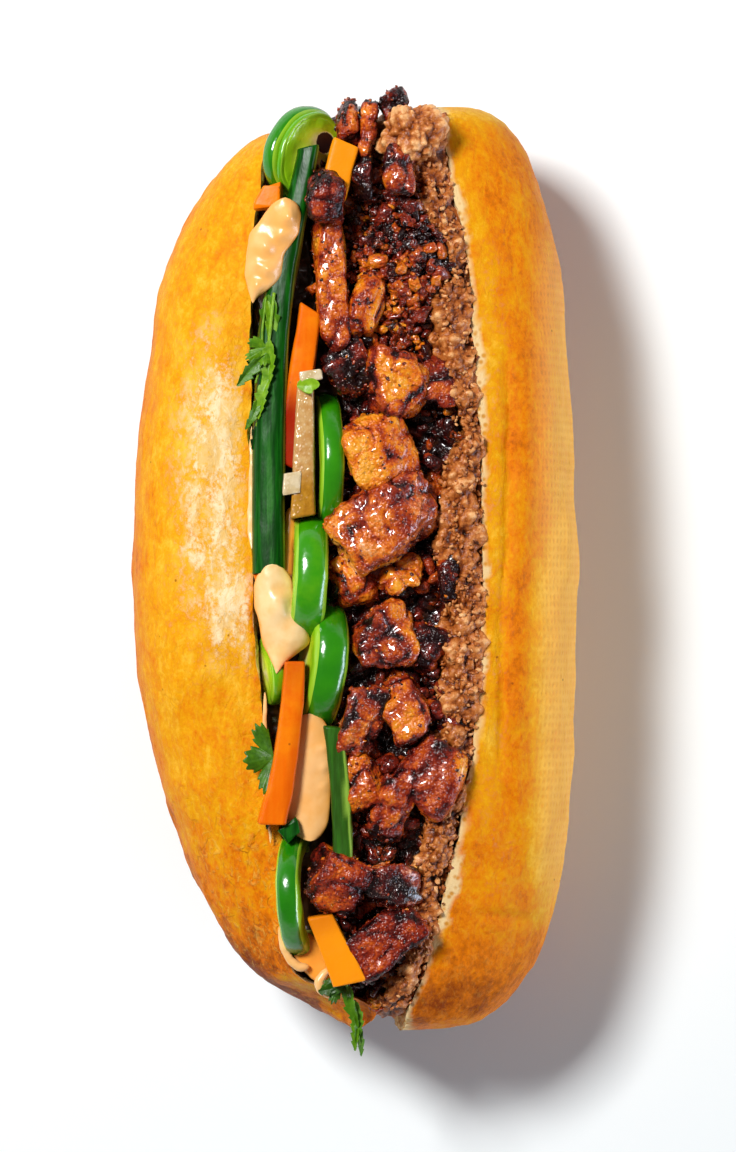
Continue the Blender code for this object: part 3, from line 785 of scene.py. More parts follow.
def crust_relief(p):
    """Height of the crust over its smooth form: swells, wrinkles, blisters and the crease."""
    x, y, z = in_mm(p)
    lift = 0.75 * noise(p, 21 * MM, 3.0) + 0.34 * noise(p, 8 * MM, 4.0)
    wrinkle = 1 - np.abs(noise(stretch(p, 1.0, 0.45, 1.0), 2.8 * MM, 5.0))
    worn = 0.35 + 0.65 * ease((-y + 15) / 60)
    lift += 0.22 * worn * (wrinkle**3 - 0.4)
    lift += 0.08 * fractal(p, 1.9 * MM, 2, 9.0)
    blisters = ease((noise(stretch(p, 1.0, 0.6, 1.0), 4.5 * MM, 6.0) - 0.25) / 0.4)
    lift += 0.22 * blisters
    # Deeper dents low on the left.
    low_left = ease((-y - 45) / 30) * ease((-x - 8) / 12)
    lift += 0.8 * low_left * noise(p, 9 * MM, 7.0)
    # A crease with a soft ridge beside it, along the right of the crust.
    crease_x = 31.6 + 0.8 * np.sin(y / 16) + 0.5 * noise(p, 5 * MM, 8.0)
    reach = ease((y + 62) / 30) * ease((56 - y) / 25) * ease((z - 42) / 8)
    lift -= 1.1 * reach * bump((x - crease_x) / 1.2)
    lift += 0.6 * reach * bump((x - crease_x - 3.4) / 2.2)
    # A short fold across the right shoulder.
    fold_y = -74 + 1.5 * noise(p, 12 * MM, 12.0)
    fold = ease((x - 24) / 5) * ease((40 - x) / 6) * ease((z - 40) / 8)
    lift -= 0.8 * fold * bump((y - fold_y) / 1.1)
    return lift * MM


def burnt_edge(p):
    """Scorched patches round the left of the near end."""
    low = ease((50 * MM - p[..., 2]) / (9 * MM)) * ease((-p[..., 1] - 78 * MM) / (9 * MM))
    return low * ease((fractal(p, 5 * MM, 2, 22.0) + 0.30) / 0.4)


def bake_level(p, lip_gap):
    """How dark the crust is baked: 0 cream, a third gold, two thirds orange, 1 brown.

    lip_gap is the distance in millimetres across from the lip, and sets the bands beside it.
    """
    x, y, z = in_mm(p)
    # On the left: darker as the side turns down, and towards the near end.
    turning = ease((48 - z) / 16)
    left = 0.31 + 0.26 * turning + 0.08 * ease((y - 55) / 30)
    left += (0.27 + 0.14 * turning) * ease((-y - 28) / 46) + 0.36 * ease((-y - 72) / 16)
    left += 0.12 * ease((-x - 39) / 6) + 0.45 * burnt_edge(p)
    # Paler over the tongue at the near end: partly its sauce glaze, partly painted light where it
    # lies in shade.
    left -= 0.62 * ease((x + 24) / 12) * ease((-y - 82) / 8)
    left += 0.12 * bump((lip_gap + 0.6) / 0.6) * ease((60 - np.abs(y)) / 20)
    # On the right: a paler strip and a darker band beside the lip, and a pale outer side that is
    # partly painted light.
    strip = bump((lip_gap - 3.0) / 3.0) * ease((z - 44) / 8)
    strip *= ease((102 - y) / 16) * ease((y + 62) / 20)
    band = bump((x - 34.4) / 2.8) * ease((y + 50) / 30) * ease((62 - y) / 30)
    right = 0.54 - 0.20 * strip + 0.08 * band
    pale = ease((x - 39.5 + 5.0 * ease((14 - y) / 24)) / 6) * ease((78 - np.abs(y + 8)) / 26)
    right = right - 0.40 * pale + 0.36 * ease((-y - 72) / 20) * (1 - 0.6 * ease((x - 25) / 10))
    level = left + (right - left) * ease((x + 8) / 16)
    edge = ease((98 - np.abs(y)) / 5.0)
    level -= 0.30 * (1 - edge) * ease((x - 12) / 8)
    return level + 0.20 * ease((24 - z) / 22) + 0.06 * noise(p, 14 * MM, 21.0)


def blister_level(p):
    """How strongly pale glazed patches lie on the crust, partly painted glare: mostly down the
    left half, along the band where the highlight falls.
    """
    x, y, z = in_mm(p)
    middle = -30.5 + 4.5 * ease((4 - y) / 12)
    band = bump((x - middle - 0.5) / 6.5) * ease((y + 27) / 16) * ease((66 - y) / 34)
    broad = 0.28 * ease((x + 44) / 8) * ease((y + 30) / 20) * ease((50 - y) / 30)
    right = 0.20 * bump((x - 29.5) / 3) * ease((80 - np.abs(y)) / 20)
    high = ease((z - 28) / 14)
    return np.where(x < 0, np.clip(band + broad, 0, 1), right) * high


def roll_skin():
    """The pillow folded into a U, its crust wrinkled and its cut face open-pored."""
    share = signed_power(np.linspace(-1, 1, ROLL_AROUND), 0.82)
    around, along = np.meshgrid(share, np.linspace(-1, 1, ROLL_ALONG), indexing="ij")
    outer, inner = roll_surfaces(around, along)
    step = np.linalg.norm(np.diff(outer, axis=0), axis=-1)
    arc = np.concatenate([[0], np.cumsum(step[:, ROLL_ALONG // 2])])[:, None] + 0 * along
    rim = (np.abs(around) == 1) | (np.abs(along) == 1)
    near_rim = ease((1 - np.abs(around)) / 0.05) * ease((1 - np.abs(along)) / 0.04)
    torn_lip = 0.5 * fractal(outer, 5 * MM, 3, 31.0) * MM
    lift = crust_relief(outer) * (0.35 + 0.65 * near_rim) * ease(outer[..., 2] / (4 * MM))
    outer = outer - normals_of(outer) * lift[..., None]
    hollow = 1.0 * MM * (pits(inner, 2.4 * MM, 3.0) - 0.5) * near_rim
    inner = inner + normals_of(inner) * hollow[..., None]
    for surface in (outer, inner):
        surface[..., 0] += torn_lip * (1 - near_rim)
        surface[..., 2] += 0.6 * torn_lip * (1 - near_rim) * (surface[..., 2] > 3 * MM)
    number = numbered_grid(*around.shape)
    inner_number = np.where(rim, number, around.size + np.cumsum(~rim).reshape(rim.shape) - 1)
    quads = []
    for grid, order in ((number, [1, 2, 3, 0]), (inner_number, [0, 3, 2, 1])):
        quads.append(faces_of(grid)[:, order])
    x, y, z = in_mm(outer)
    lip_gap = x - lip_place(around, outer[..., 1]) / MM
    torn = 0.9 + 1.0 * noise(outer, 9 * MM, 41.0) + 0.9 * noise(outer, 2.5 * MM, 42.0)
    torn += 2.6 * bump((y + 68) / 9) + 1.4 * bump((y - 76) / 7) + 1.2 * bump((y - 47) / 12)
    pale_lip = ease((torn - lip_gap) / 0.8) * (around > 0) * (z > 40)
    tray = ease((x - 36) / 7) * ease((84 - np.abs(y)) / 24)
    flakes = (0.35 + 0.65 * ease((-y - 40) / 26)) * (1 - 0.7 * ease((x + 5) / 10))
    orange_end = ease((-y - 86) / 6) * (inner[..., 0] < 5 * MM)
    values = {
        "bake": (bake_level(outer, lip_gap), 0.62 + 0 * along),
        "crumb": (pale_lip * 0.9, 1 - orange_end),
        "tray": (tray, 0 * tray),
        "blister": (blister_level(outer) * (1 - bump((lip_gap + 0.2) / 0.7)), 0 * tray),
        "flakes": (flakes * ease((z - 16) / 15), 0 * tray),
        "arc": (arc, arc),
    }
    values = {n: np.concatenate([a.reshape(-1), b[~rim]]) for n, (a, b) in values.items()}
    points = np.concatenate([outer.reshape(-1, 3), inner[~rim]])
    return Skin(points, np.concatenate(quads), **values)


# ---- spread ----

PATE_ENDS = (-95.5 * MM, 98.6 * MM)
PATE_GRAINS, PATE_END_GRAINS = 1500, 520


def pate_thickness(y, rise=1.0):
    """How thick the spread lies on the cut face: thinner the lower the rise."""
    bulge = 3.4 * MM * bump((y + 12 * MM) / (7 * MM))
    lumps = 2.0 * MM * np.sin(y / (6.2 * MM)) + 1.3 * MM * np.sin(y / (2.9 * MM) + 1)
    thick = 7.5 * MM + lumps + bulge + 6 * MM * ease((y - 80 * MM) / (8 * MM))
    return thick * (0.25 + 0.75 * rise)


def pate_section(y, share):
    """Round the spread's section: up the cut face, over its crest, down towards the chicken."""
    rise = np.clip(1 - np.abs(share - 0.5) * 2, 0, 1) * 1.25
    rise = 0.14 + (1 - 0.14) * np.minimum(rise, 1)
    wall_x, wall_z = pocket_wall(rise, y)
    inner_x = wall_x - pate_thickness(y, rise)
    across = ease((share - 0.4) / 0.2)
    x = wall_x - 0.3 * MM + (inner_x - wall_x) * across
    crest = ease((rise - 0.9) / 0.1) * np.sin(across * math.pi)
    z = wall_z - SETTLE + crest * (2.6 + 2.4 * ease((y / MM - 84) / 8)) * MM
    return placed(x, y, z)


def clumps(p):
    """Height of the mush in metres: lumps with creases between, then packed granules."""
    lump = 0.5 - pits(p, 5.5 * MM, 51.0)
    granule = 0.55 - pits(p, 2.0 * MM, 52.0)
    small = 0.55 - pits(p, 1.05 * MM, 54.0)
    return (3.4 * lump + 1.8 * granule + 0.8 * small) * MM, lump, granule + 0.6 * small


def narrowed(rings, y, start, share):
    """Rings drawn in to their middles over the last five millimetres past the start."""
    end = np.clip(np.abs(y - ROLL_MIDDLE) / MM - start, 0, 5) / 5
    middle = rings.mean(axis=1, keepdims=True)
    return middle + (rings - middle) * np.sqrt(1 - share * end**2)[..., None]


def crumb(columns, rough, seed, shape):
    """A tiny uneven lump, about 1 across each way before its shape stretches it."""
    way = ball(3, columns)
    return capped(way * (1 + rough * noise(way, 0.8, seed)[..., None]) * np.array(shape))


def pate_skin():
    """The spread's granular body, and the loose grains over it."""
    draw = np.random.default_rng(11)
    y = np.linspace(*PATE_ENDS, 490)[:, None]
    spread = np.linspace(-1, 1, 90)[None, :]
    body = pate_section(y, 0.5 + 0.48 * signed_power(spread, 1.7))
    body = narrowed(body, y, 92, 0.7)
    lift, clump, granule = clumps(body)
    # Paler towards the far end and around y = -14 mm: painted light. Darker in the creases between
    # lumps and granules: painted shade.
    level = 0.42 + 0.10 * ease((y / MM - 84) / 6) + 0.12 * bump((y / MM + 14) / 10)
    solid = capped(swollen(body, lift), tone=level + 0.62 * clump + 0.85 * granule)
    seed_y = draw.uniform(PATE_ENDS[0] + 2 * MM, PATE_ENDS[1] - 1 * MM, PATE_GRAINS)
    seed_share = np.clip(draw.normal(0.5, 0.075, PATE_GRAINS), 0.2, 0.8)
    places = pate_section(seed_y, seed_share) + draw.normal(0, 0.3 * MM, (PATE_GRAINS, 3))
    places[:, 2] += clumps(places)[0] * 0.8
    sizes = draw.uniform(0.3, 0.8, PATE_GRAINS) ** 1.2 * MM
    tone = np.clip(draw.normal(0.66, 0.2, PATE_GRAINS), 0.05, 1)
    flake = crumb(7, 0.45, 61.0, (1.5, 1, 0.7))
    grains = scatter(flake, places, sizes, draw, tone=tone)
    return join([solid, pate_mound(), grains, pate_ends(flake)])


def pate_mound():
    """The rounded heap of spread at the far end: a lumpy dome."""
    way = ball(72, 120)
    points = way * np.array([6.6, 6.0, 5.2]) * MM + np.array([12.0, 92.0, 60.6]) * MM
    lift, clump, granule = clumps(points)
    points = points + way * lift[..., None]
    # Darker in the creases between lumps and granules: painted shade.
    return capped(points, tone=0.58 + 0.62 * clump + 0.95 * granule)


def end_places(draw, count, side):
    """Places over the open end of the pocket: how high, the walls' x there, and y."""
    rise = draw.uniform(0.1, 0.98, count)
    far = 95.6 - 1.6 * rise + draw.uniform(-1.2, 0.6, count)
    y = np.where(side > 0, far, draw.uniform(-93.6, -91.2, count)) * MM
    left, z = pocket_wall(-rise, y)
    right, _ = pocket_wall(rise, y)
    split = np.maximum(right - pate_thickness(y, rise), left + 0.3 * MM)
    return y, z - SETTLE, left, split, right


def pate_ends(flake):
    """Coarse grains over the spread's two ends."""
    draw = np.random.default_rng(12)
    count = PATE_END_GRAINS
    y, z, _, split, right = end_places(draw, count, draw.choice([1, 1, -1], count))
    x = split + (right - split) * draw.uniform(0.05, 0.95, count)
    sizes = draw.uniform(0.5, 1.2, count) * MM
    tone = np.clip(draw.normal(0.6, 0.2, count), 0.05, 1)
    return scatter(flake, placed(x, y, z), sizes, draw, tone=tone)


# ---- chicken ----

# For each large piece: width, length and thickness in millimetres, yaw, tone and char.
CHICKEN_LOOKS = (
    (8.8, 11.0, 9.0, 0, 0.40, 0.05), (5.4, 10.6, 10.0, 8, 0.74, 0.10),
    (4.0, 11.8, 10.0, -6, 0.66, 0.10), (7.0, 5.4, 8.0, 30, 0.48, 0.00),
    (4.8, 10.0, 9.0, 0, 0.44, 0.35), (8.0, 10.4, 8.0, -15, 0.68, 0.10),
    (7.2, 30.0, 11.0, 5, 0.74, 0.10), (7.6, 13.8, 9.0, -16, 0.94, 0.00),
    (10.8, 12.4, 10.0, 30, 0.58, 0.15), (14.0, 15.6, 12.0, -10, 0.86, 0.08),
    (15.2, 16.6, 12.0, 20, 1.00, 0.00), (8.4, 11.6, 9.0, 10, 0.62, 0.25),
    (26.0, 17.5, 13.0, 31, 0.86, 0.04), (9.2, 11.4, 10.0, 15, 0.92, 0.10),
    (12.8, 7.4, 8.0, 26, 0.94, 0.05), (5.6, 11.6, 9.0, 5, 0.50, 0.16),
    (14.0, 14.0, 11.0, 20, 0.86, 0.06), (11.0, 11.6, 9.0, -20, 0.62, 0.22),
    (8.8, 16.8, 11.0, -18, 0.80, 0.08), (11.2, 14.2, 11.0, 25, 0.72, 0.14),
    (8.6, 9.8, 8.0, 0, 0.66, 0.14), (8.6, 13.4, 10.0, 0, 0.68, 0.22),
    (13.8, 16.0, 11.0, -30, 0.70, 0.06), (9.6, 15.0, 10.0, -20, 0.66, 0.12),
    (14.0, 13.8, 12.0, -25, 0.44, 0.12), (12.6, 9.8, 10.0, 10, 0.58, 0.12),
    (20.5, 11.0, 12.0, 36, 0.40, 0.12),
)
# How far some pieces lie from their solid's middle, in millimetres.
PIECE_MOVES = {
    1: (0, 0, -1.0), 8: (0, 0, 0.8), 10: (0, 0, -0.4), 11: (0, 0, 0.8), 13: (0, 0, 0.6),
    18: (-2.4, 0, 0), 25: (-1.0, 0, 1.2), 27: (-1.6, 1.6, 0),
}
# How pale and pinkish the glaze is on top of some pieces, partly its own colour and partly painted
# sheen; far below zero it is dull and dry.
PINK = {
    1: -0.50, 6: 0.22, 9: 0.34, 13: 0.55, 15: 0.30, 17: 0.42, 19: 0.50, 20: 0.22, 23: -0.15,
    25: -0.48, 26: 0.66, 27: -0.50,
}
# How rugged some pieces are: the lower, the smoother.
CALM = {2: 0.7, 7: 0.45, 8: 0.5, 10: 0.75, 11: 0.6, 14: 0.7, 16: 0.7, 23: 0.7, 27: 0.6}
USUAL_PINK, USUAL_CALM = -0.15, 0.9
FAR_PIECES = 13
MEAT_GRID, CHIP_GRID = 0.43 * MM, 0.52 * MM
CHIP_FORMS = 6
END_PILE_TOP = 54 * MM - SETTLE
GLAZE_FROM = 58 * MM
GAP_CHIPS, END_CHIPS, CRUMBLE_CHIPS, GLAZE_CRUMBS = 720, 330, 1500, 1900


def cut_block(way, draw, edge, boxy):
    """How far a hand-cut block reaches in each direction, and which of its faces is there.

    Faces are planes with normal n at distance h: the reach is the sum of max(0, n.d / h) to
    the power edge, over all the planes, to the power -1 / edge. A box always bounds it, and
    the boxier the block, the further out its other planes lie.
    """
    tilted = draw.normal(size=(9, 3))
    tilted /= np.linalg.norm(tilted, axis=1, keepdims=True)
    normal = np.concatenate([tilted, np.eye(3), -np.eye(3)])
    height = np.concatenate([draw.uniform(0.78, 1.1, 9) + boxy, draw.uniform(0.92, 1.04, 6)])
    lean = np.clip(way @ normal.T / height, 0, None) ** edge
    total = lean.sum(axis=-1)
    own_tone = draw.normal(0, 1, 15)
    tone = (lean * own_tone).sum(axis=-1) / total
    corner = 1 - (lean.max(axis=-1) / total)
    return total ** (-1 / edge), tone, corner


def meat_chunk(size, number, grid=MEAT_GRID, edge=9.0, calm=1.0):
    """A cut block of meat along Y: torn, dented, cracked along its fibres and gritty."""
    draw = np.random.default_rng(number)
    rows = int(max(6, 0.55 * (size[1] + size[2]) * 1.5 / grid))
    columns = int(max(9, 2.6 * (size[0] + size[2]) / 2 / grid))
    way = ball(rows, columns)[..., [0, 2, 1]]
    reach, face, corner = cut_block(way, draw, edge, 0.28 * (1 - calm))
    shift = draw.uniform(-1, 1, 3)
    out = way * reach[..., None]
    out = out * (1 + 0.13 * calm * fractal(out + shift, 0.9, 2, number)[..., None])
    points = out * np.array(size) / 2
    seen = points + shift
    rough = min(1.0, size.min() / (8 * MM)) ** 0.5 * calm
    lump = fractal(seen, 3.4 * MM, 2, number + 0.5)
    fibre = noise(stretch(seen, 1.0, 0.3, 1.0), 1.3 * MM, number + 0.3)
    crack = (1 - np.abs(noise(seen, 4.6 * MM, number + 0.9))) ** 7
    grit = 0.55 - pits(seen, 1.6 * MM, number + 0.7)
    fine = noise(seen, 0.85 * MM, number + 0.1)
    rugged = 0.6 + 1.2 * corner - 0.35 * np.clip(face, -1, 1)
    lift = 0.7 * lump + 0.25 * fibre - 0.9 * crack + (0.62 * grit + 0.24 * fine) * rugged
    points = points + way * (lift * rough * MM)[..., None]
    return points, face, corner, 0.5 * lump - 1.2 * crack + 0.5 * grit


def large_chicken():
    """The large pieces, each over its own solid, as skins in the same order."""
    skins = []
    for number, (width, length, thick, yaw, tone, char) in enumerate(CHICKEN_LOOKS, 1):
        size = np.array([width, length, thick]) * MM
        points, face, corner, height = meat_chunk(size, number, calm=CALM.get(number, USUAL_CALM))
        points = turned(points, yaw) + middle_of(f"chicken_piece_{number:02d}")
        points += np.array(PIECE_MOVES.get(number, (0, 0, 0))) * MM
        # Darker and more charred down in cracks and pits, where the relief is low: painted shade.
        shown_tone = tone - 0.02 + 0.19 * face + 0.28 * height - 0.56 * corner
        shown_char = char + 0.42 * corner - 0.42 * height - 0.12 * face
        shown_char += 0.25 * noise(points, 3.0 * MM, 72.0)
        # The pale pink rises on raised parts and falls at corners: partly painted sheen.
        pink = PINK.get(number, USUAL_PINK) + 0.30 * height - 0.9 * corner
        skins.append(capped(points, tone=shown_tone, char=shown_char, pink=pink))
    return skins


def heap_edges(y):
    """Where the heap's top begins on the left and ends on the right."""
    left = -4.5 * MM + 2 * MM * np.sin(y / (17 * MM)) - 3 * MM * ease((y - 44 * MM) / (8 * MM))
    wall, _ = pocket_wall(-np.ones_like(y), y)
    right, _ = pocket_wall(np.ones_like(y), y)
    return np.maximum(left, wall + 0.5 * MM), right - pate_thickness(y) - 0.6 * MM


def heap_height(x, y):
    """The heap's top under the large pieces, with the chopped crumble standing higher."""
    near = ((x - 12 * MM) / (11 * MM)) ** 2 + ((y - 66 * MM) / (16 * MM)) ** 2
    ends = 8 * MM * np.abs(y / 0.1) ** 6
    return 55.5 * MM + 5.5 * MM * np.exp(-near) - ends


def heap_side(rise, y):
    """At each rise: the cut face on the left, the heap's left side, and how high they are."""
    wall, height = pocket_wall(-rise, y)
    top, _ = heap_edges(y)
    return wall, wall + np.maximum(top - wall, 0) * ease((rise - 0.25) / 0.6), height


def trough(y, left, right, height, steps, top):
    """Rings up the left side, over the top in so many steps, and down the right side."""
    share = np.linspace(0, 1, steps)[None, 1:-1]
    across = left[:, -1:] + (right[:, -1:] - left[:, -1:]) * share
    x = np.concatenate([left, across, right[:, ::-1]], 1)
    z = np.concatenate([height, top(across, y), height[:, ::-1]], 1)
    return placed(x, y, z)


def heap_core():
    """The chopped body of the heap, from the pocket's floor to under the pieces: its dark, charred
    colour is painted shade in the gaps, darker still in its hollows.
    """
    y = np.linspace(-93 * MM, 96 * MM, 400)[:, None]
    rise = np.linspace(0.1, 0.84, 22)[None, :]
    _, left, height = heap_side(rise, y)
    wall_right, _ = pocket_wall(rise, y)
    right = wall_right - pate_thickness(y, rise) - 0.3 * MM
    points = trough(y, left, right, height, 66, heap_height)
    points = narrowed(points, y, 89.5, 0.75)
    lump = fractal(points, 4.5 * MM, 3, 81.0)
    dent = 0.55 - pits(points, 2.6 * MM, 82.0)
    points = swollen(points, (0.9 * lump + 1.8 * dent) * MM)
    # Painted shade: dark and charred throughout, darker between its bumps.
    return capped(points, tone=0.22 + 0.2 * lump + 0.3 * dent, char=0.70 - 0.6 * dent)


def chips(places, sizes, draw, tones, chars):
    """Chopped bits: small cut blocks of several forms, shared out among the places."""
    skins = []
    for form in range(CHIP_FORMS):
        size = np.array([1.0, draw.uniform(1.1, 1.9), draw.uniform(0.6, 0.9)]) * 2 * MM
        points, *_ = meat_chunk(size, 200 + form, CHIP_GRID, edge=16.0)
        where, big, tone, char = (a[form::CHIP_FORMS] for a in (places, sizes, tones, chars))
        skins.append(scatter(capped(points / MM), where, big, draw, tone=tone, char=char))
    return join(skins)


def on_heap(draw, y, share, low, high):
    """Places a share across the heap's top, from low to high millimetres above it."""
    left, right = heap_edges(y)
    x = left + (right - left) * share
    return placed(x, y, heap_height(x, y) + draw.uniform(low, high, len(y)) * MM)


def small_chicken():
    """Chopped bits that fill the gaps between the large pieces."""
    draw = np.random.default_rng(5)
    count = GAP_CHIPS
    y = draw.uniform(-89 * MM, 96 * MM, count)
    places = on_heap(draw, y, draw.uniform(0.0, 1.03, count), 0.3, 4.4)
    sizes = draw.uniform(0.6, 2.1, count) * MM
    # Bits lying deeper are darker and more charred: painted shade.
    deep = ease((62 * MM - places[:, 2]) / (4 * MM))
    tones = draw.normal(0.50, 0.18, count) - 0.22 * deep
    chars = draw.uniform(0.0, 0.5, count) + 0.3 * deep
    return chips(places, sizes, draw, tones, chars)


def end_chicken():
    """Chopped bits over the heap's two ends, where the pocket lies open."""
    draw = np.random.default_rng(8)
    count = END_CHIPS
    y, z, left, split, _ = end_places(draw, count, draw.choice([1, 1, -1], count))
    x = left + (split - left) * draw.uniform(0.02, 0.98, count)
    y = y - 6.5 * MM * ease((-x / MM - 6) / 9) * (y > 0)
    sizes = draw.uniform(1.1, 2.2, count) * MM
    tones = draw.normal(0.50, 0.18, count)
    chars = draw.uniform(0.0, 0.5, count)
    low = z < END_PILE_TOP
    return chips(placed(x, y, z)[low], sizes[low], draw, tones[low], chars[low])


def chopped_crumble():
    """The fine dark crumble beside the spread, towards the far end."""
    draw = np.random.default_rng(6)
    count = CRUMBLE_CHIPS
    y = (64 + 31 * np.clip(draw.normal(0, 0.45, count), -1, 1)) * MM
    share = np.clip(draw.normal(0.64, 0.25, count), 0.1, 1.04)
    places = on_heap(draw, y, share, 0.4, 3.2)
    sizes = draw.uniform(0.30, 1.10, count) * MM
    patch = noise(stretch(places, z=0), 8 * MM, 73.0)
    tones = draw.normal(0.36, 0.20, count) + 0.34 * patch
    chars = draw.uniform(0.2, 0.9, count) - 0.5 * patch
    return chips(places, sizes, draw, tones, chars)


def crumbs_on(skins):
    """Grit stuck to the glaze: tiny crumbs at points chosen on the pieces' upper sides."""
    draw = np.random.default_rng(7)
    points = np.concatenate([s.points for s in skins])
    high = points[points[:, 2] > GLAZE_FROM]
    places = high[draw.integers(0, len(high), GLAZE_CRUMBS)]
    sizes = draw.uniform(0.16, 0.46, len(places)) * MM
    grit = crumb(6, 0.35, 62.0, (1.3, 1, 0.8))
    tones = draw.normal(0.42, 0.2, len(places))
    chars = draw.uniform(0.0, 0.7, len(places))
    return scatter(grit, places, sizes, draw, tone=tones, char=chars)


# ---- vegetables ----


def slice_skin(diameter, thickness, wall, seed, tone):
    """A ring: a bulging band of skin outside, two cut faces and the seed hollow inside.

    Its section is a squared ellipse carried round a circle that is faintly three-lobed.
    """
    angle, theta = circle(60)[None, :], circle(132)[:, None]
    lobes = 1 + 0.022 * np.cos(3 * theta + seed) + 0.012 * np.cos(5 * theta + 2 * seed)
    radius = diameter / 2 * lobes
    inner = radius - wall * (1 + 0.15 * np.cos(3 * theta + seed + 1.5))
    square_u = signed_power(np.sin(angle), 0.36)
    square_r = signed_power(np.cos(angle), 0.36)
    bulge = 0.17 * thickness * np.clip(square_r, 0, 1) * (1 - square_u**2)
    r = (radius + inner) / 2 + (radius - inner) / 2 * square_r + bulge
    ring = placed(0, r * np.sin(theta), r * np.cos(theta))
    u = thickness / 2 * square_u + 0.10 * MM * noise(ring, 3 * MM)
    skinward = (square_r + 1) / 2
    flesh = np.where(skinward > 0.972, 0.0, 0.03 + 0.8 * (1 - skinward)) + 0 * theta
    points = ring + placed(u, 0, 0)
    number = np.pad(numbered_grid(*r.shape), ((0, 1), (0, 1)), "wrap")
    return Skin(points, faces_of(number), flesh=flesh, tone=np.full(flesh.shape, tone))


def web_skin(radius, thickness, seed, hole):
    """The pale web inside a slice: a flat wavy disc with three ribs, and maybe a near-black patch
    of painted shade for a seed hole.
    """
    way = ball(60, 110)
    face = signed_power(way[..., 0], 0.15)
    flat = placed(thickness * 0.52 * face, radius * way[..., 1], radius * way[..., 2])
    theta = np.arctan2(flat[..., 1], flat[..., 2])
    rib = (0.5 + 0.5 * np.cos(3 * theta + seed)) ** 2
    reach = np.hypot(flat[..., 1], flat[..., 2]) / radius
    flat[..., 0] *= 0.93 + 0.07 * rib
    flat[..., 0] += 0.16 * MM * noise(flat, 2.4 * MM, seed)
    flesh = 0.34 + 0.44 * ease((1 - reach) / 0.6) + 0.22 * rib * ease((0.9 - reach) / 0.4)
    side, up = flat[..., 1] / radius - 0.46, flat[..., 2] / radius + 0.27
    dark = hole * ease((1 - (side / 0.28) ** 2 - (up / 0.35) ** 2) / 0.3)
    return capped(flat, flesh=np.clip(flesh, 0.05, 1) + dark, tone=0.5)


# For each slice: diameter, thickness, wall, top height, middle x and y, yaw, lean, tone.
SLICES = (
    (19.6, 3.6, 3.2, 66.2, -11.3, 88.0, -18, -41, 0.50),
    (18.4, 1.4, 2.0, 67.3, -9.5, 87.4, -18, -41, 0.95),
    (28.4, 5.0, 4.2, 67.2, -6.6, 22.4, 0, 9, 0.62),
    (25.4, 7.2, 4.4, 69.0, -10.2, -1.8, -3, 5, 0.72),
    (27.2, 7.6, 4.6, 66.8, -8.2, -20.2, -6, 14, 0.52),
    (25.6, 5.0, 4.0, 67.4, -12.0, -68.6, 2, -10, 0.40),
    (14.0, 2.8, 2.2, 63.6, -17.8, -21.6, 8, 14, 1.10),
)
WEBBED = (1, 2, 5, 7)


def jalapeno_skin():
    """All the chilli slices, some with the web still in them."""
    skins = []
    for number, (across, thick, wall, top, x, y, yaw, lean, tone) in enumerate(SLICES, 1):
        parts = [slice_skin(across * MM, thick * MM, wall * MM, number, tone)]
        if number in WEBBED:
            reach, swell = (across / 2 - 0.7) * MM, (thick + 0.5) * MM
            parts.append(web_skin(reach, swell, number, hole=number == 2))
        ring = join(parts)
        ring.points = turned(ring.points, yaw, lean)
        ring.points += np.array([x, y, top - across / 2]) * MM
        skins.append(ring)
    return join(skins)


def stick_skin(width, length, depth, bend=0.0, taper=0.0, slant=0.0, seed=0.0):
    """A cut stick along Y: a squared section, faintly wavy, with flat or slanting ends."""
    s = np.sin(np.linspace(-1, 1, 72) * math.pi / 2)[:, None]
    angle = circle(60)[None, :]
    a, b = signed_power(np.cos(angle), 0.24), signed_power(np.sin(angle), 0.24)
    close = np.minimum(1, (1 - np.abs(s)) * length / 2 / (0.45 * MM))
    round_end = 1 - 0.10 * (1 - close) ** 2
    x = width / 2 * (1 + taper * s) * round_end * a + bend * (1 - s * s)
    y = s * length / 2 + slant * width / 2 * a * np.abs(s) ** 6
    points = placed(x, y, depth / 2 * round_end * b)
    wave = 0.16 * MM * fractal(stretch(points, 1, 0.4, 1) + seed, 3 * MM, 3, seed)
    return points + placed(wave, 0, wave)


def stick_at(middle, size, turn, top, bend=0.0, taper=0.0, slant=0.0, **values):
    """A stick whose middle is at x, y and whose top is at a height, all in millimetres.

    turn holds its yaw, its lean and its tip in degrees. Each further value is a number, or
    a function that gives one at each of the stick's own points.
    """
    width, length, depth = (v * MM for v in size)
    own = stick_skin(width, length, depth, bend * MM, taper, slant, seed=abs(middle[1]) + 1)
    points = turned(own, *turn) + np.array([*middle, top - size[2] / 2]) * MM
    levels = {n: v(own / MM) if callable(v) else v for n, v in values.items()}
    return capped(points, **levels)


def sticks_from(names, rows):
    """Sticks from rows of a middle, size, turn, top, bend, taper, slant and the named values."""
    return join([stick_at(*row[:7], **dict(zip(names, row[7:]))) for row in rows])


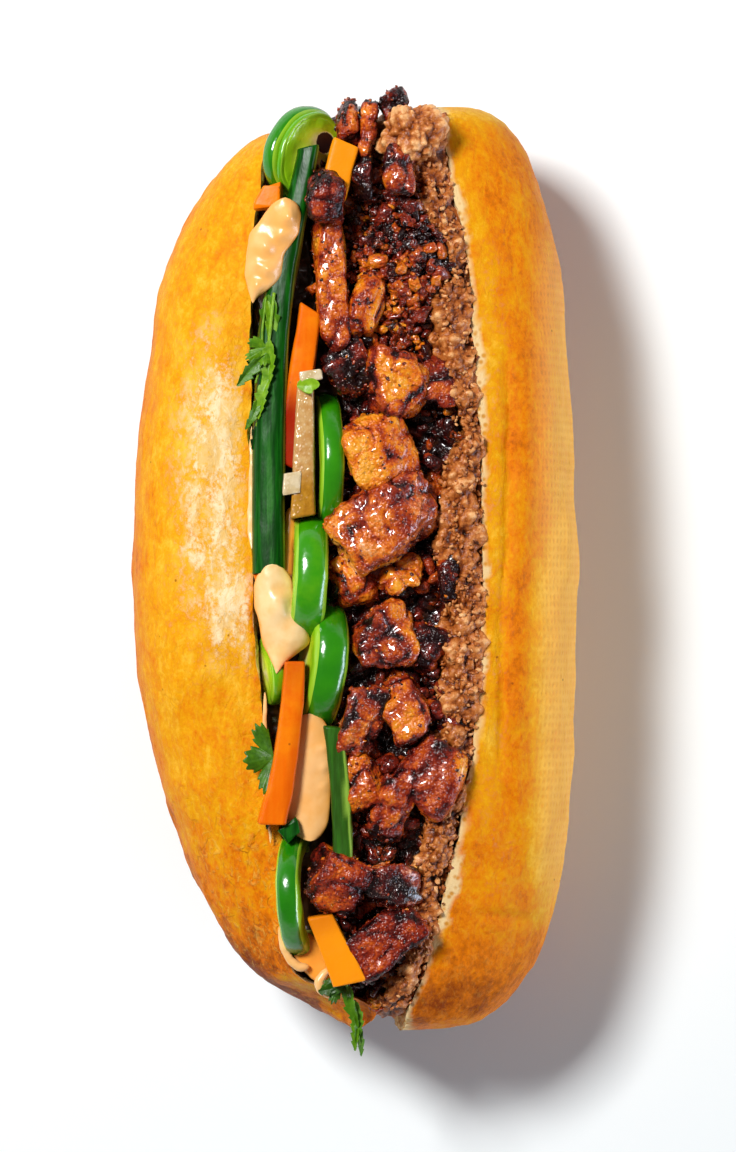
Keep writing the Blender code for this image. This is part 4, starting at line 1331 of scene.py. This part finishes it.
def carrot_skin():
    """The five carrot sticks, and a flat chip under the spear's near end."""
    def dark_end(own):
        return 0.95 * ease((3 - own[..., 1]) / 9)

    def dark_top(own):
        return 0.30 * ease((own[..., 1] - 1.5) / 5.5)

    def side_shade(own):
        return 0.35 * ease((own[..., 0] - 1.8) / 0.6) + 0.30 * ease((own[..., 1] - 8) / 8)

    return sticks_from(("shade", "face"), (
        ((-17.6, 78.4), (4.8, 5.0, 6), (-14, -5, 0), 65.6, 0, -0.3, 0.4, 0, 0.25),
        ((-3.2, 84.2), (5.8, 11.6, 5), (-14, 0, 0), 65.2, 0, 0.0, -0.15, 0, 0.75),
        ((-11.6, 38.4), (5.4, 33.6, 8), (-8, 0, 3), 65.0, 0, -0.1, -0.35, dark_end, 0),
        ((-15.1, -36.6), (5.0, 34.6, 5), (-8, 6, 0), 67.2, 0.9, -0.17, 0.12, side_shade, 0),
        ((-4.2, -80.2), (6.2, 15.6, 6), (24, 0, 0), 65.8, 0, -0.16, -0.22, dark_top, 0.75),
        ((-17.4, -2.0), (7.0, 4.4, 2), (10, 10, 0), 63.4, 0, 0.1, 0.3, 0, 0),
    ))


def daikon_skin():
    """The long mottled stick, the clear cube, and the pale block over the carrot's end."""
    # Painted shade: darker brown towards the stick's lower end, where it goes deep.
    def stained(own):
        return 0.95 * ease((-2 - own[..., 1]) / 7)

    return sticks_from(("shade", "pale"), (
        ((-10.6, 25.4), (4.5, 29.0, 9), (-1, 0, 0), 66.8, 0, -0.22, 0.2, stained, 0),
        ((-13.2, 18.0), (3.8, 4.6, 4), (-4, 0, 0), 67.4, 0, 0.0, 0.2, 0, 0.75),
        ((-9.2, 40.6), (4.9, 2.2, 3), (8, 0, 0), 67.8, 0, 0.0, 0.0, 0, 0.75),
    ))


# The spear's spine as (y, x), as in the solids.
SPEAR_SPINE = ((-0.3, -18.2), (18, -18.2), (36, -17.8), (52, -16.9), (71, -13.4), (88, -9.8))


def spear_skin():
    """The long cucumber spear: a waxy arched top and pale cut sides along a curved spine."""
    y = np.linspace(-0.6, 88.8, 240)[:, None] * MM
    spine = smooth_through(SPEAR_SPINE, y)
    share = ease((y - 50 * MM) / (38 * MM))
    half = (6.9 + (4.6 - 6.9) * share) / 2 * MM
    angle = circle(64)[None, :]
    a, b = signed_power(np.cos(angle), 0.5), signed_power(np.sin(angle), 0.6)
    z = 61.3 * MM + 5.0 * MM * b + 0.5 * MM * a * (b > 0)
    points = placed(spine + half * a, y + 0.5 * MM * a, z)
    wave = 0.2 * MM * fractal(stretch(points, 1, 0.3, 1), 4 * MM, 3, 91.0)
    flesh = ease((0.42 - b + 0.45 * ease((a - 0.80) / 0.12)) / 0.2)
    # ridge marks where the painted sheen lies along the top.
    return capped(points + placed(wave, 0, wave), flesh=flesh, ridge=bump((a - 0.15) / 0.35))


def cucumber_stick_skin():
    """The thin upright slice: skin on top, pale flesh to the right and round its foot."""
    def cut_side(own):
        right = 0.9 * ease((own[..., 0] - 1.7) / 0.2)
        return np.clip(0.10 + right + ease((-12.8 - own[..., 1]) / 0.5), 0, 1)

    return sticks_from(("flesh", "ridge"), (
        ((-3.6, -47.9), (4.2, 29.4, 12), (4, 0, 0), 64, 0.6, 0.0, -0.2, cut_side, 0),
        ((-13.6, -55.2), (4.2, 3.2, 4), (24, 0, 0), 65, 0, 0.2, 0.3, 0, 0),
    ))


# ---- sauce ----


def pool_skin(edges, top, fall, seed, thickness=3.0, humps=(), thin=0.0, wavy=0.45):
    """A smooth pool: between left and right edges along Y, domed over and hollow below.

    edges holds (y, left x, right x) in millimetres; top is the crown's height; each hump
    raises the upper side by h around x, y, fading over r. thin is how much shows through
    it, and wavy how far it undulates.
    """
    edges = np.array(sorted(edges), float)
    y = np.linspace(edges[0, 0], edges[-1, 0], 110)[:, None] * MM
    left, right = smooth_through(edges[:, [0, 1]], y), smooth_through(edges[:, [0, 2]], y)
    s = np.linspace(-1, 1, 110)[:, None]
    close = np.sqrt(np.clip(1 - np.abs(s) ** 7, 0, 1))
    angle = circle(52)[None, :]
    half = np.maximum((right - left) / 2 * close, 0.02 * MM)
    x = (left + right) / 2 + half * np.cos(angle)
    swell = np.minimum(half, thickness * MM)
    up = np.sin(angle)
    z = (top + fall * s) * MM + swell * (up * np.where(up > 0, 0.62, 0.8) - 0.62)
    for hump_x, hump_y, reach, height in humps:
        near = ((x / MM - hump_x) / reach) ** 2 + ((y / MM - hump_y) / reach) ** 2
        z = z + height * MM * np.exp(-near) * np.clip(up, 0, 1)
    points = placed(x, y, z)
    wave = wavy * MM * fractal(points, 4 * MM, 2, seed)
    points = points + placed(0.7 * wave, 0.4 * wave, wave)
    edge = ease((0.80 - up) / 0.75)
    return capped(points, deep=0.0, thin=thin + (0.9 - thin) * edge)


# Edges of the pools: y, left x and right x.
DOLLOP = (
    (77.9, -16.2, -12.8), (77.1, -17.6, -11.7), (75.2, -18.8, -11.3), (73, -20.0, -11.5),
    (70.6, -21.8, -11.9), (68.6, -22.4, -13.0), (66.4, -22.7, -14.4), (64.4, -22.7, -15.0),
    (61.5, -23.0, -15.4), (60, -22.8, -16.4), (58.6, -22.6, -18.2), (57.2, -22.2, -19.9),
    (55.9, -21.8, -20.7),
)
SHEET = (
    (1.0, -20.6, -14.0), (-3, -21.4, -12.8), (-9, -20.9, -12.2), (-13.5, -20.0, -9.8),
    (-16, -19.2, -9.8), (-18, -18.4, -12.2), (-20, -17.6, -14.6), (-22, -16.9, -15.9),
)
PLANE = (
    (-30.5, -13.6, -5.6), (-36, -14.6, -5.0), (-44, -15.4, -5.0), (-50, -15.6, -5.2),
    (-54.5, -15.0, -5.6), (-57.5, -12.5, -6.2),
)
SPOT = ((-61.5, -7.2, -6.8), (-63, -7.6, -5.8), (-64.8, -7.4, -6.2))
LINE = ((30, -22.1, -21.6), (22, -22.3, -21.2), (12, -22.5, -21.1), (4, -22.4, -21.3))
SMEAR = ((-26, -19.4, -18.6), (-38, -19.6, -18.4), (-50, -18.9, -17.9), (-58, -18.2, -17.4))
POND = (
    (-77, -12.9, -9.0), (-80, -13.2, -6.5), (-83, -12.4, -4.5), (-86, -10.4, -3.6),
    (-88.5, -7.6, -3.6),
)
# Humps on the pools: x, y, reach and height.
SHEET_HUMPS = ((-16, -9, 4, 1.2), (-12.5, -15, 3, 0.8))
PLANE_HUMPS = ((-6.3, -38, 1.0, 0.5), (-6.3, -42, 1.0, 0.5), (-6.4, -46, 1.0, 0.4))
DOLLOP_HUMPS = (
    (-13.6, 73.4, 2.0, 2.0), (-15.2, 70.0, 1.4, 0.9), (-18.2, 67.4, 1.8, 1.2),
    (-18.0, 62.9, 1.6, 1.4), (-20.4, 64.0, 1.2, 0.6), (-20.6, 59.6, 1.4, 0.8),
)
# Threads of sauce: x, y and z.
RIBBON = (
    (-15.6, -75.4, 58.6), (-15.4, -78.4, 58.4), (-14.9, -80.8, 58.2), (-13.6, -83.0, 58.0),
    (-11.7, -84.4, 57.9), (-9.6, -84.3, 58.0),
)
OOZE = ((-13.4, 13, 60.2), (-13.7, 9, 60.8), (-14.0, 4, 61.2), (-14.4, -1, 62.0), (-14.8, -4, 62))
HOOK = (
    (-5.4, -84.6, 58.8), (-6.6, -85.8, 58.9), (-7.6, -87.4, 58.9), (-7.2, -89.2, 58.6),
    (-5.4, -90.2, 58.3), (-3.4, -89.4, 58.4),
)


def trickle(path, radius, thin=0.25):
    """A squeezed thread of sauce: rings along a softened path, thinning to its ends."""
    line, ring = rings_along(path, 10)
    share = np.linspace(-1, 1, len(line))[:, None, None]
    swell = 1 + 0.18 * fractal(line, 2.5 * MM, 2, 106.0)[:, None, None]
    points = line[:, None] + radius * MM * np.sqrt(1.02 - share**6) * swell * ring
    return capped(points, deep=0.0, thin=thin)


def mayo_skin():
    """Every spot of sauce that shows, from the two-lobed dollop to the curls at the near end."""
    return join([
        pool_skin(DOLLOP, 67.8, 1.0, 1.0, 2.6, DOLLOP_HUMPS, 0.52),
        pool_skin(SHEET, 65.6, 1.2, 2.0, 4.0, SHEET_HUMPS),
        pool_skin(PLANE, 63.0, 0.4, 3.0, 2.0, PLANE_HUMPS, 0.45, 0.12),
        trickle(RIBBON, 0.9),
        pool_skin(SPOT, 62.0, 0.0, 8.0, 1.0),
        trickle(HOOK, 0.95),
        trickle(OOZE, 1.3, 1.0),
        pool_skin(LINE, 62.4, 0.2, 6.0, 0.9),
        pool_skin(SMEAR, 61.4, 0.4, 7.0, 0.9),
        pool_skin(POND, 57.2, 0.6, 5.0, 2.4, thin=1.0),
    ])


def sauce_core():
    """The dark sauce down among the vegetables, over its own solid: its darkness is painted shade.
    """
    def top(x, y):
        return 53.5 * MM - 7 * MM * np.abs(y / 0.1) ** 6 + 0 * x

    y = np.linspace(-86 * MM, 84 * MM, 220)[:, None]
    rise = np.linspace(0.42, 0.80, 14)[None, :]
    left, right, height = heap_side(rise, y)
    points = trough(y, left, right + 0.4 * MM, height, 22, top)
    points[:, : rise.size, 0] += 0.3 * MM
    points[..., 2] += 1.4 * MM * fractal(points, 4 * MM, 3, 101.0)
    return capped(points, deep=1.0, thin=0.0)


# ---- coriander ----

LEAF_THICKNESS = 0.18 * MM


def blade(length, width, teeth, curl, fold, seed):
    """A toothed leaf lying along Y from its stalk, as a grid of half-widths by lengths.

    Its half-width is a hump of the length, cut by teeth that lean towards the tip; the leaf
    folds up along its midrib and curls down towards the tip.
    """
    t = np.linspace(0, 1, 73)[:, None]
    side = np.linspace(-1, 1, 15)[None, :]
    hump = np.sin(math.pi * np.clip(t, 0, 1) ** 0.75) ** 0.7
    tooth = (t * teeth + 0.25 * np.sign(side)) % 1
    half = width / 2 * (hump * (0.62 + 0.38 * (1 - tooth)) + 0.04)
    x = side * half
    y = t * length + 0.3 * half * np.abs(side)
    points = placed(x, y, fold * np.abs(x) - curl * length * t**2)
    points[..., 2] += 0.10 * width * noise(points, 0.35 * length, seed)
    points[..., 0] += 0.05 * length * noise(stretch(points, 0, 1, 0), 0.5 * length, seed + 1)
    return points


def fan_leaf(length, width, lobes, seed):
    """A flat three-lobed leaf: a fan from the stalk whose rim has lobes with small teeth."""
    angle = np.linspace(-0.5, 0.5, 91)[None, :] * math.pi * 1.05
    reach = np.linspace(0.03, 1, 14)[:, None]
    lobe = np.abs(np.cos(angle * lobes)) ** 0.7
    rim = 0.55 + 0.45 * lobe + 0.07 * np.cos(angle * 26)
    r = reach * rim
    x = r * np.sin(angle) * width
    y = r * np.cos(angle * 0.9) * length
    points = placed(x, y, 0.10 * length * reach**2 * np.cos(angle * lobes * 2))
    points[..., 2] += 0.08 * length * noise(points, length * 0.5, seed)
    return points


def sheet_of(points, tone):
    """A closed thin sheet: the grid, a second one below it, and a band round the rim."""
    rows, columns = points.shape[:2]
    size = rows * columns
    lower = points - np.array([0, 0, LEAF_THICKNESS])
    number = numbered_grid(rows, columns)
    top = faces_of(number)[:, [0, 3, 2, 1]]
    rim = np.concatenate([number[0, :-1], number[:-1, -1], number[-1, :0:-1], number[:0:-1, 0]])
    ahead = np.roll(rim, -1)
    sides = np.stack([rim, ahead, ahead + size, rim + size], -1)
    both = np.concatenate([points.reshape(-1, 3), lower.reshape(-1, 3)])
    quads = np.concatenate([top, top[:, ::-1] + size, sides])
    return Skin(both, quads, tone=np.full(2 * size, tone))


def stem_skin(path, radius, tone):
    """A thin round stem through points in millimetres, softened into a curve."""
    line, ring = rings_along(path, 8)
    return capped(line[:, None] + radius * MM * ring, tone=tone)


# Toothed leaves: stalk x, y, z, heading, length, width, teeth, curl, fold, roll, tone; the darkest
# tones, on leaves lying low, are painted shade.
BLADES = (
    (-18.6, 57.6, 66.4, 186, 9.6, 4.4, 3, 0.12, 0.4, 5, 0.62),
    (-17.8, 56.4, 66.8, 182, 10.6, 3.0, 2, 0.10, 0.3, -12, 0.84),
    (-17.4, 48.0, 67.2, 172, 10.4, 3.6, 5, 0.10, 0.5, 25, 0.80),
    (-18.8, 45.2, 67.0, 142, 9.0, 3.4, 4, 0.10, 0.5, -25, 0.62),
    (-18.4, 40.0, 66.8, 166, 8.8, 3.2, 5, 0.14, 0.5, 30, 0.84),
    (-19.8, 36.6, 66.4, 158, 8.0, 2.2, 4, 0.10, 0.4, -15, 0.66),
    (-20.2, 47.8, 65.0, 176, 8.0, 4.4, 4, 0.10, 0.3, 0, 0.02),
    (-20.4, 31.0, 64.6, 172, 6.0, 2.6, 3, 0.10, 0.3, 0, 0.05),
    (-17.6, -46.0, 64.0, 170, 9.0, 2.0, 3, 0.10, 0.4, 20, 0.25),
    (-7.3, 38.6, 68.6, 94, 4.8, 3.6, 1, 0.05, 0.1, 0, 0.95),
    (-2.6, -86.4, 60.5, 150, 5.0, 2.6, 3, 0.20, 0.5, -25, 0.36),
    (-1.2, -88.2, 60.2, 188, 9.0, 3.0, 4, 0.22, 0.6, 25, 0.60),
    (0.0, -91.2, 58.8, 184, 9.4, 2.4, 5, 0.10, 0.5, -20, 0.66),
    (0.2, -94.8, 57.8, 176, 7.4, 2.2, 4, 0.06, 0.6, 25, 0.72),
    (0.6, -97.0, 57.4, 190, 6.4, 1.8, 3, 0.02, 0.6, -25, 0.58),
    (-3.4, -88.6, 60.2, 100, 4.4, 2.8, 3, 0.15, 0.4, 0, 0.32),
)
# Flat leaves: stalk x, y, z, heading, length, width, lobes, tone.
FANS = (
    (-17.0, -39.6, 65.2, 97, 6.2, 7.6, 2.6, 0.48),
    (-3.0, -87.2, 59.8, 158, 5.0, 3.4, 2.6, 0.42),
    (-18.4, 46.6, 67.2, 120, 5.0, 3.4, 2.6, 0.70),
)
# Stems: points, radius, tone.
STEMS = (
    (((-16.9, 58, 67.2), (-17.6, 52, 67.2), (-18.2, 46, 66.6), (-19.6, 38, 66), (-20.6, 30, 65)),
     0.32, 0.9),
    (((-18.6, 57, 66.6), (-19.4, 50, 66.4), (-19.4, 44, 66.4), (-20.8, 39, 66.0)), 0.26, 0.8),
    (((-4.4, -83.8, 61), (-2.2, -87, 60.6), (-0.6, -91, 59.4), (0.4, -96, 58.2), (1, -101, 57.4)),
     0.30, 0.75),
)


def herb_skin():
    """Every leaf and stem of coriander, each leaf a thin sheet turned to its place."""
    skins = []
    for number, row in enumerate(BLADES):
        x, y, z, heading, length, width, teeth, curl, fold, roll, tone = row
        leaf = blade(length * MM, width * MM, teeth, curl, fold, 110.0 + number)
        leaf = turned(turned(leaf, 0, roll), heading) + np.array([x, y, z]) * MM
        skins.append(sheet_of(leaf, tone))
    for number, (x, y, z, heading, length, width, lobes, tone) in enumerate(FANS):
        leaf = fan_leaf(length * MM, width * MM, lobes, 140.0 + number)
        skins.append(sheet_of(turned(leaf, heading) + np.array([x, y, z]) * MM, tone))
    skins += [stem_skin(*row) for row in STEMS]
    return join(skins)


# ---- the stage ----


def make_floor():
    """A wide pale table top."""
    mesh = bpy.data.meshes.new("floor")
    corners = [(x * FLOOR_REACH, y * FLOOR_REACH, 0) for x, y in FLOOR_CORNERS]
    mesh.from_pydata(corners, [], [(0, 1, 2, 3)])
    finish = Finish("floor", Roughness=0.9, Specular_IOR_Level=0.1)
    mesh.materials.append(finish.feed(Base_Color=(*FLOOR_COLOUR, 1.0)))
    shown("floor", mesh)


def make_lamp(name, at, size, power, colour=(1.0, 1.0, 1.0)):
    """A rectangular lamp that faces the sandwich."""
    lamp = bpy.data.lights.new(name, "AREA")
    lamp.shape = "RECTANGLE"
    lamp.size, lamp.size_y = size
    lamp.energy = power
    lamp.color = colour
    made = shown(name, lamp)
    made.location = at
    made.visible_camera = False
    to = -np.array(at)
    tilt = math.atan2(np.hypot(to[0], to[1]), -to[2])
    made.rotation_euler = (tilt, 0, math.atan2(to[1], to[0]) - math.pi / 2)


def make_sky():
    """Pale walls and a dim ceiling: the sky's strength falls with a direction's height."""
    world = bpy.data.worlds.new("sky")
    bpy.context.scene.world = world
    world.use_nodes = True
    tree = world.node_tree
    place = tree.nodes.new("ShaderNodeTexCoord")
    split = tree.nodes.new("ShaderNodeSeparateXYZ")
    fall = tree.nodes.new("ShaderNodeMapRange")
    fall.interpolation_type = "SMOOTHSTEP"
    labels = ("From Min", "From Max", "To Min", "To Max")
    for label, level in zip(labels, (*SKY_FALL, SKY_LOW, SKY_HIGH)):
        fall.inputs[label].default_value = level
    tree.links.new(place.outputs["Generated"], split.inputs[0])
    tree.links.new(split.outputs["Z"], fall.inputs["Value"])
    tree.links.new(fall.outputs["Result"], tree.nodes["Background"].inputs["Strength"])
    tree.nodes["Background"].inputs["Color"].default_value = (1.0, 1.0, 1.0, 1.0)


def make_camera():
    """A camera straight above the roll, looking down, its top towards +Y."""
    lens = bpy.data.cameras.new("camera")
    lens.lens = CAMERA_LENS
    lens.sensor_fit = "VERTICAL"
    lens.sensor_height = CAMERA_SENSOR
    lens.clip_start = 0.05
    camera = shown("camera", lens)
    camera.location = CAMERA_AT
    bpy.context.scene.camera = camera
    bpy.context.scene.view_settings.view_transform = "Standard"


def numbered(stem, count):
    """The names of a row of like solids."""
    return [f"{stem}_{k}" for k in range(1, count + 1)]


def main():
    """The stage, then every piece."""
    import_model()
    make_camera()
    make_lamp("key", KEY_FROM, (KEY_SIZE, KEY_SIZE), KEY_POWER)
    make_lamp("fill", FILL_FROM, FILL_SIZE, FILL_POWER, FILL_COLOUR)
    make_sky()
    make_floor()

    roll = piece("roll_look", roll_skin(), crust_finish(), "crust", "roll")
    roll.data.set_sharp_from_angle(angle=math.radians(SHARP_ANGLE))
    piece("pate_look", pate_skin(), pate_finish(), "pate", "pate_layer")
    meat = chicken_finish()
    large = large_chicken()
    names = [f"chicken_piece_{k:02d}" for k in range(1, len(large) + 1)]
    far, near = slice(None, FAR_PIECES), slice(FAR_PIECES, None)
    piece("chicken_far", join(large[far]), meat, "chicken", *names[far])
    piece("chicken_near", join(large[near]), meat, "chicken", *names[near])
    piece("chicken_core", heap_core(), meat, "chicken", "chicken_filling")
    bits = join([small_chicken(), end_chicken(), crumbs_on(large)])
    piece("chicken_bits", bits, meat, "chicken")
    piece("chicken_crumble", chopped_crumble(), meat, "chicken")
    chillies = numbered("jalapeno", len(SLICES))
    piece("jalapeno_look", jalapeno_skin(), jalapeno_finish(), "jalapeno", *chillies)
    piece("carrot_look", carrot_skin(), carrot_finish(), "carrot", *numbered("carrot", 5))
    piece("daikon_look", daikon_skin(), daikon_finish(), "daikon", *numbered("daikon", 2))
    green = cucumber_finish()
    piece("spear_look", spear_skin(), green, "cucumber", "cucumber_spear")
    piece("stick_look", cucumber_stick_skin(), green, "cucumber", "cucumber_stick")
    mayo = mayo_finish()
    piece("mayo_look", mayo_skin(), mayo, "mayo", "mayo_dollop")
    piece("mayo_core", sauce_core(), mayo, "mayo", "mayo_layer")
    piece("herb_look", herb_skin(), herb_finish(), "herb")


main()
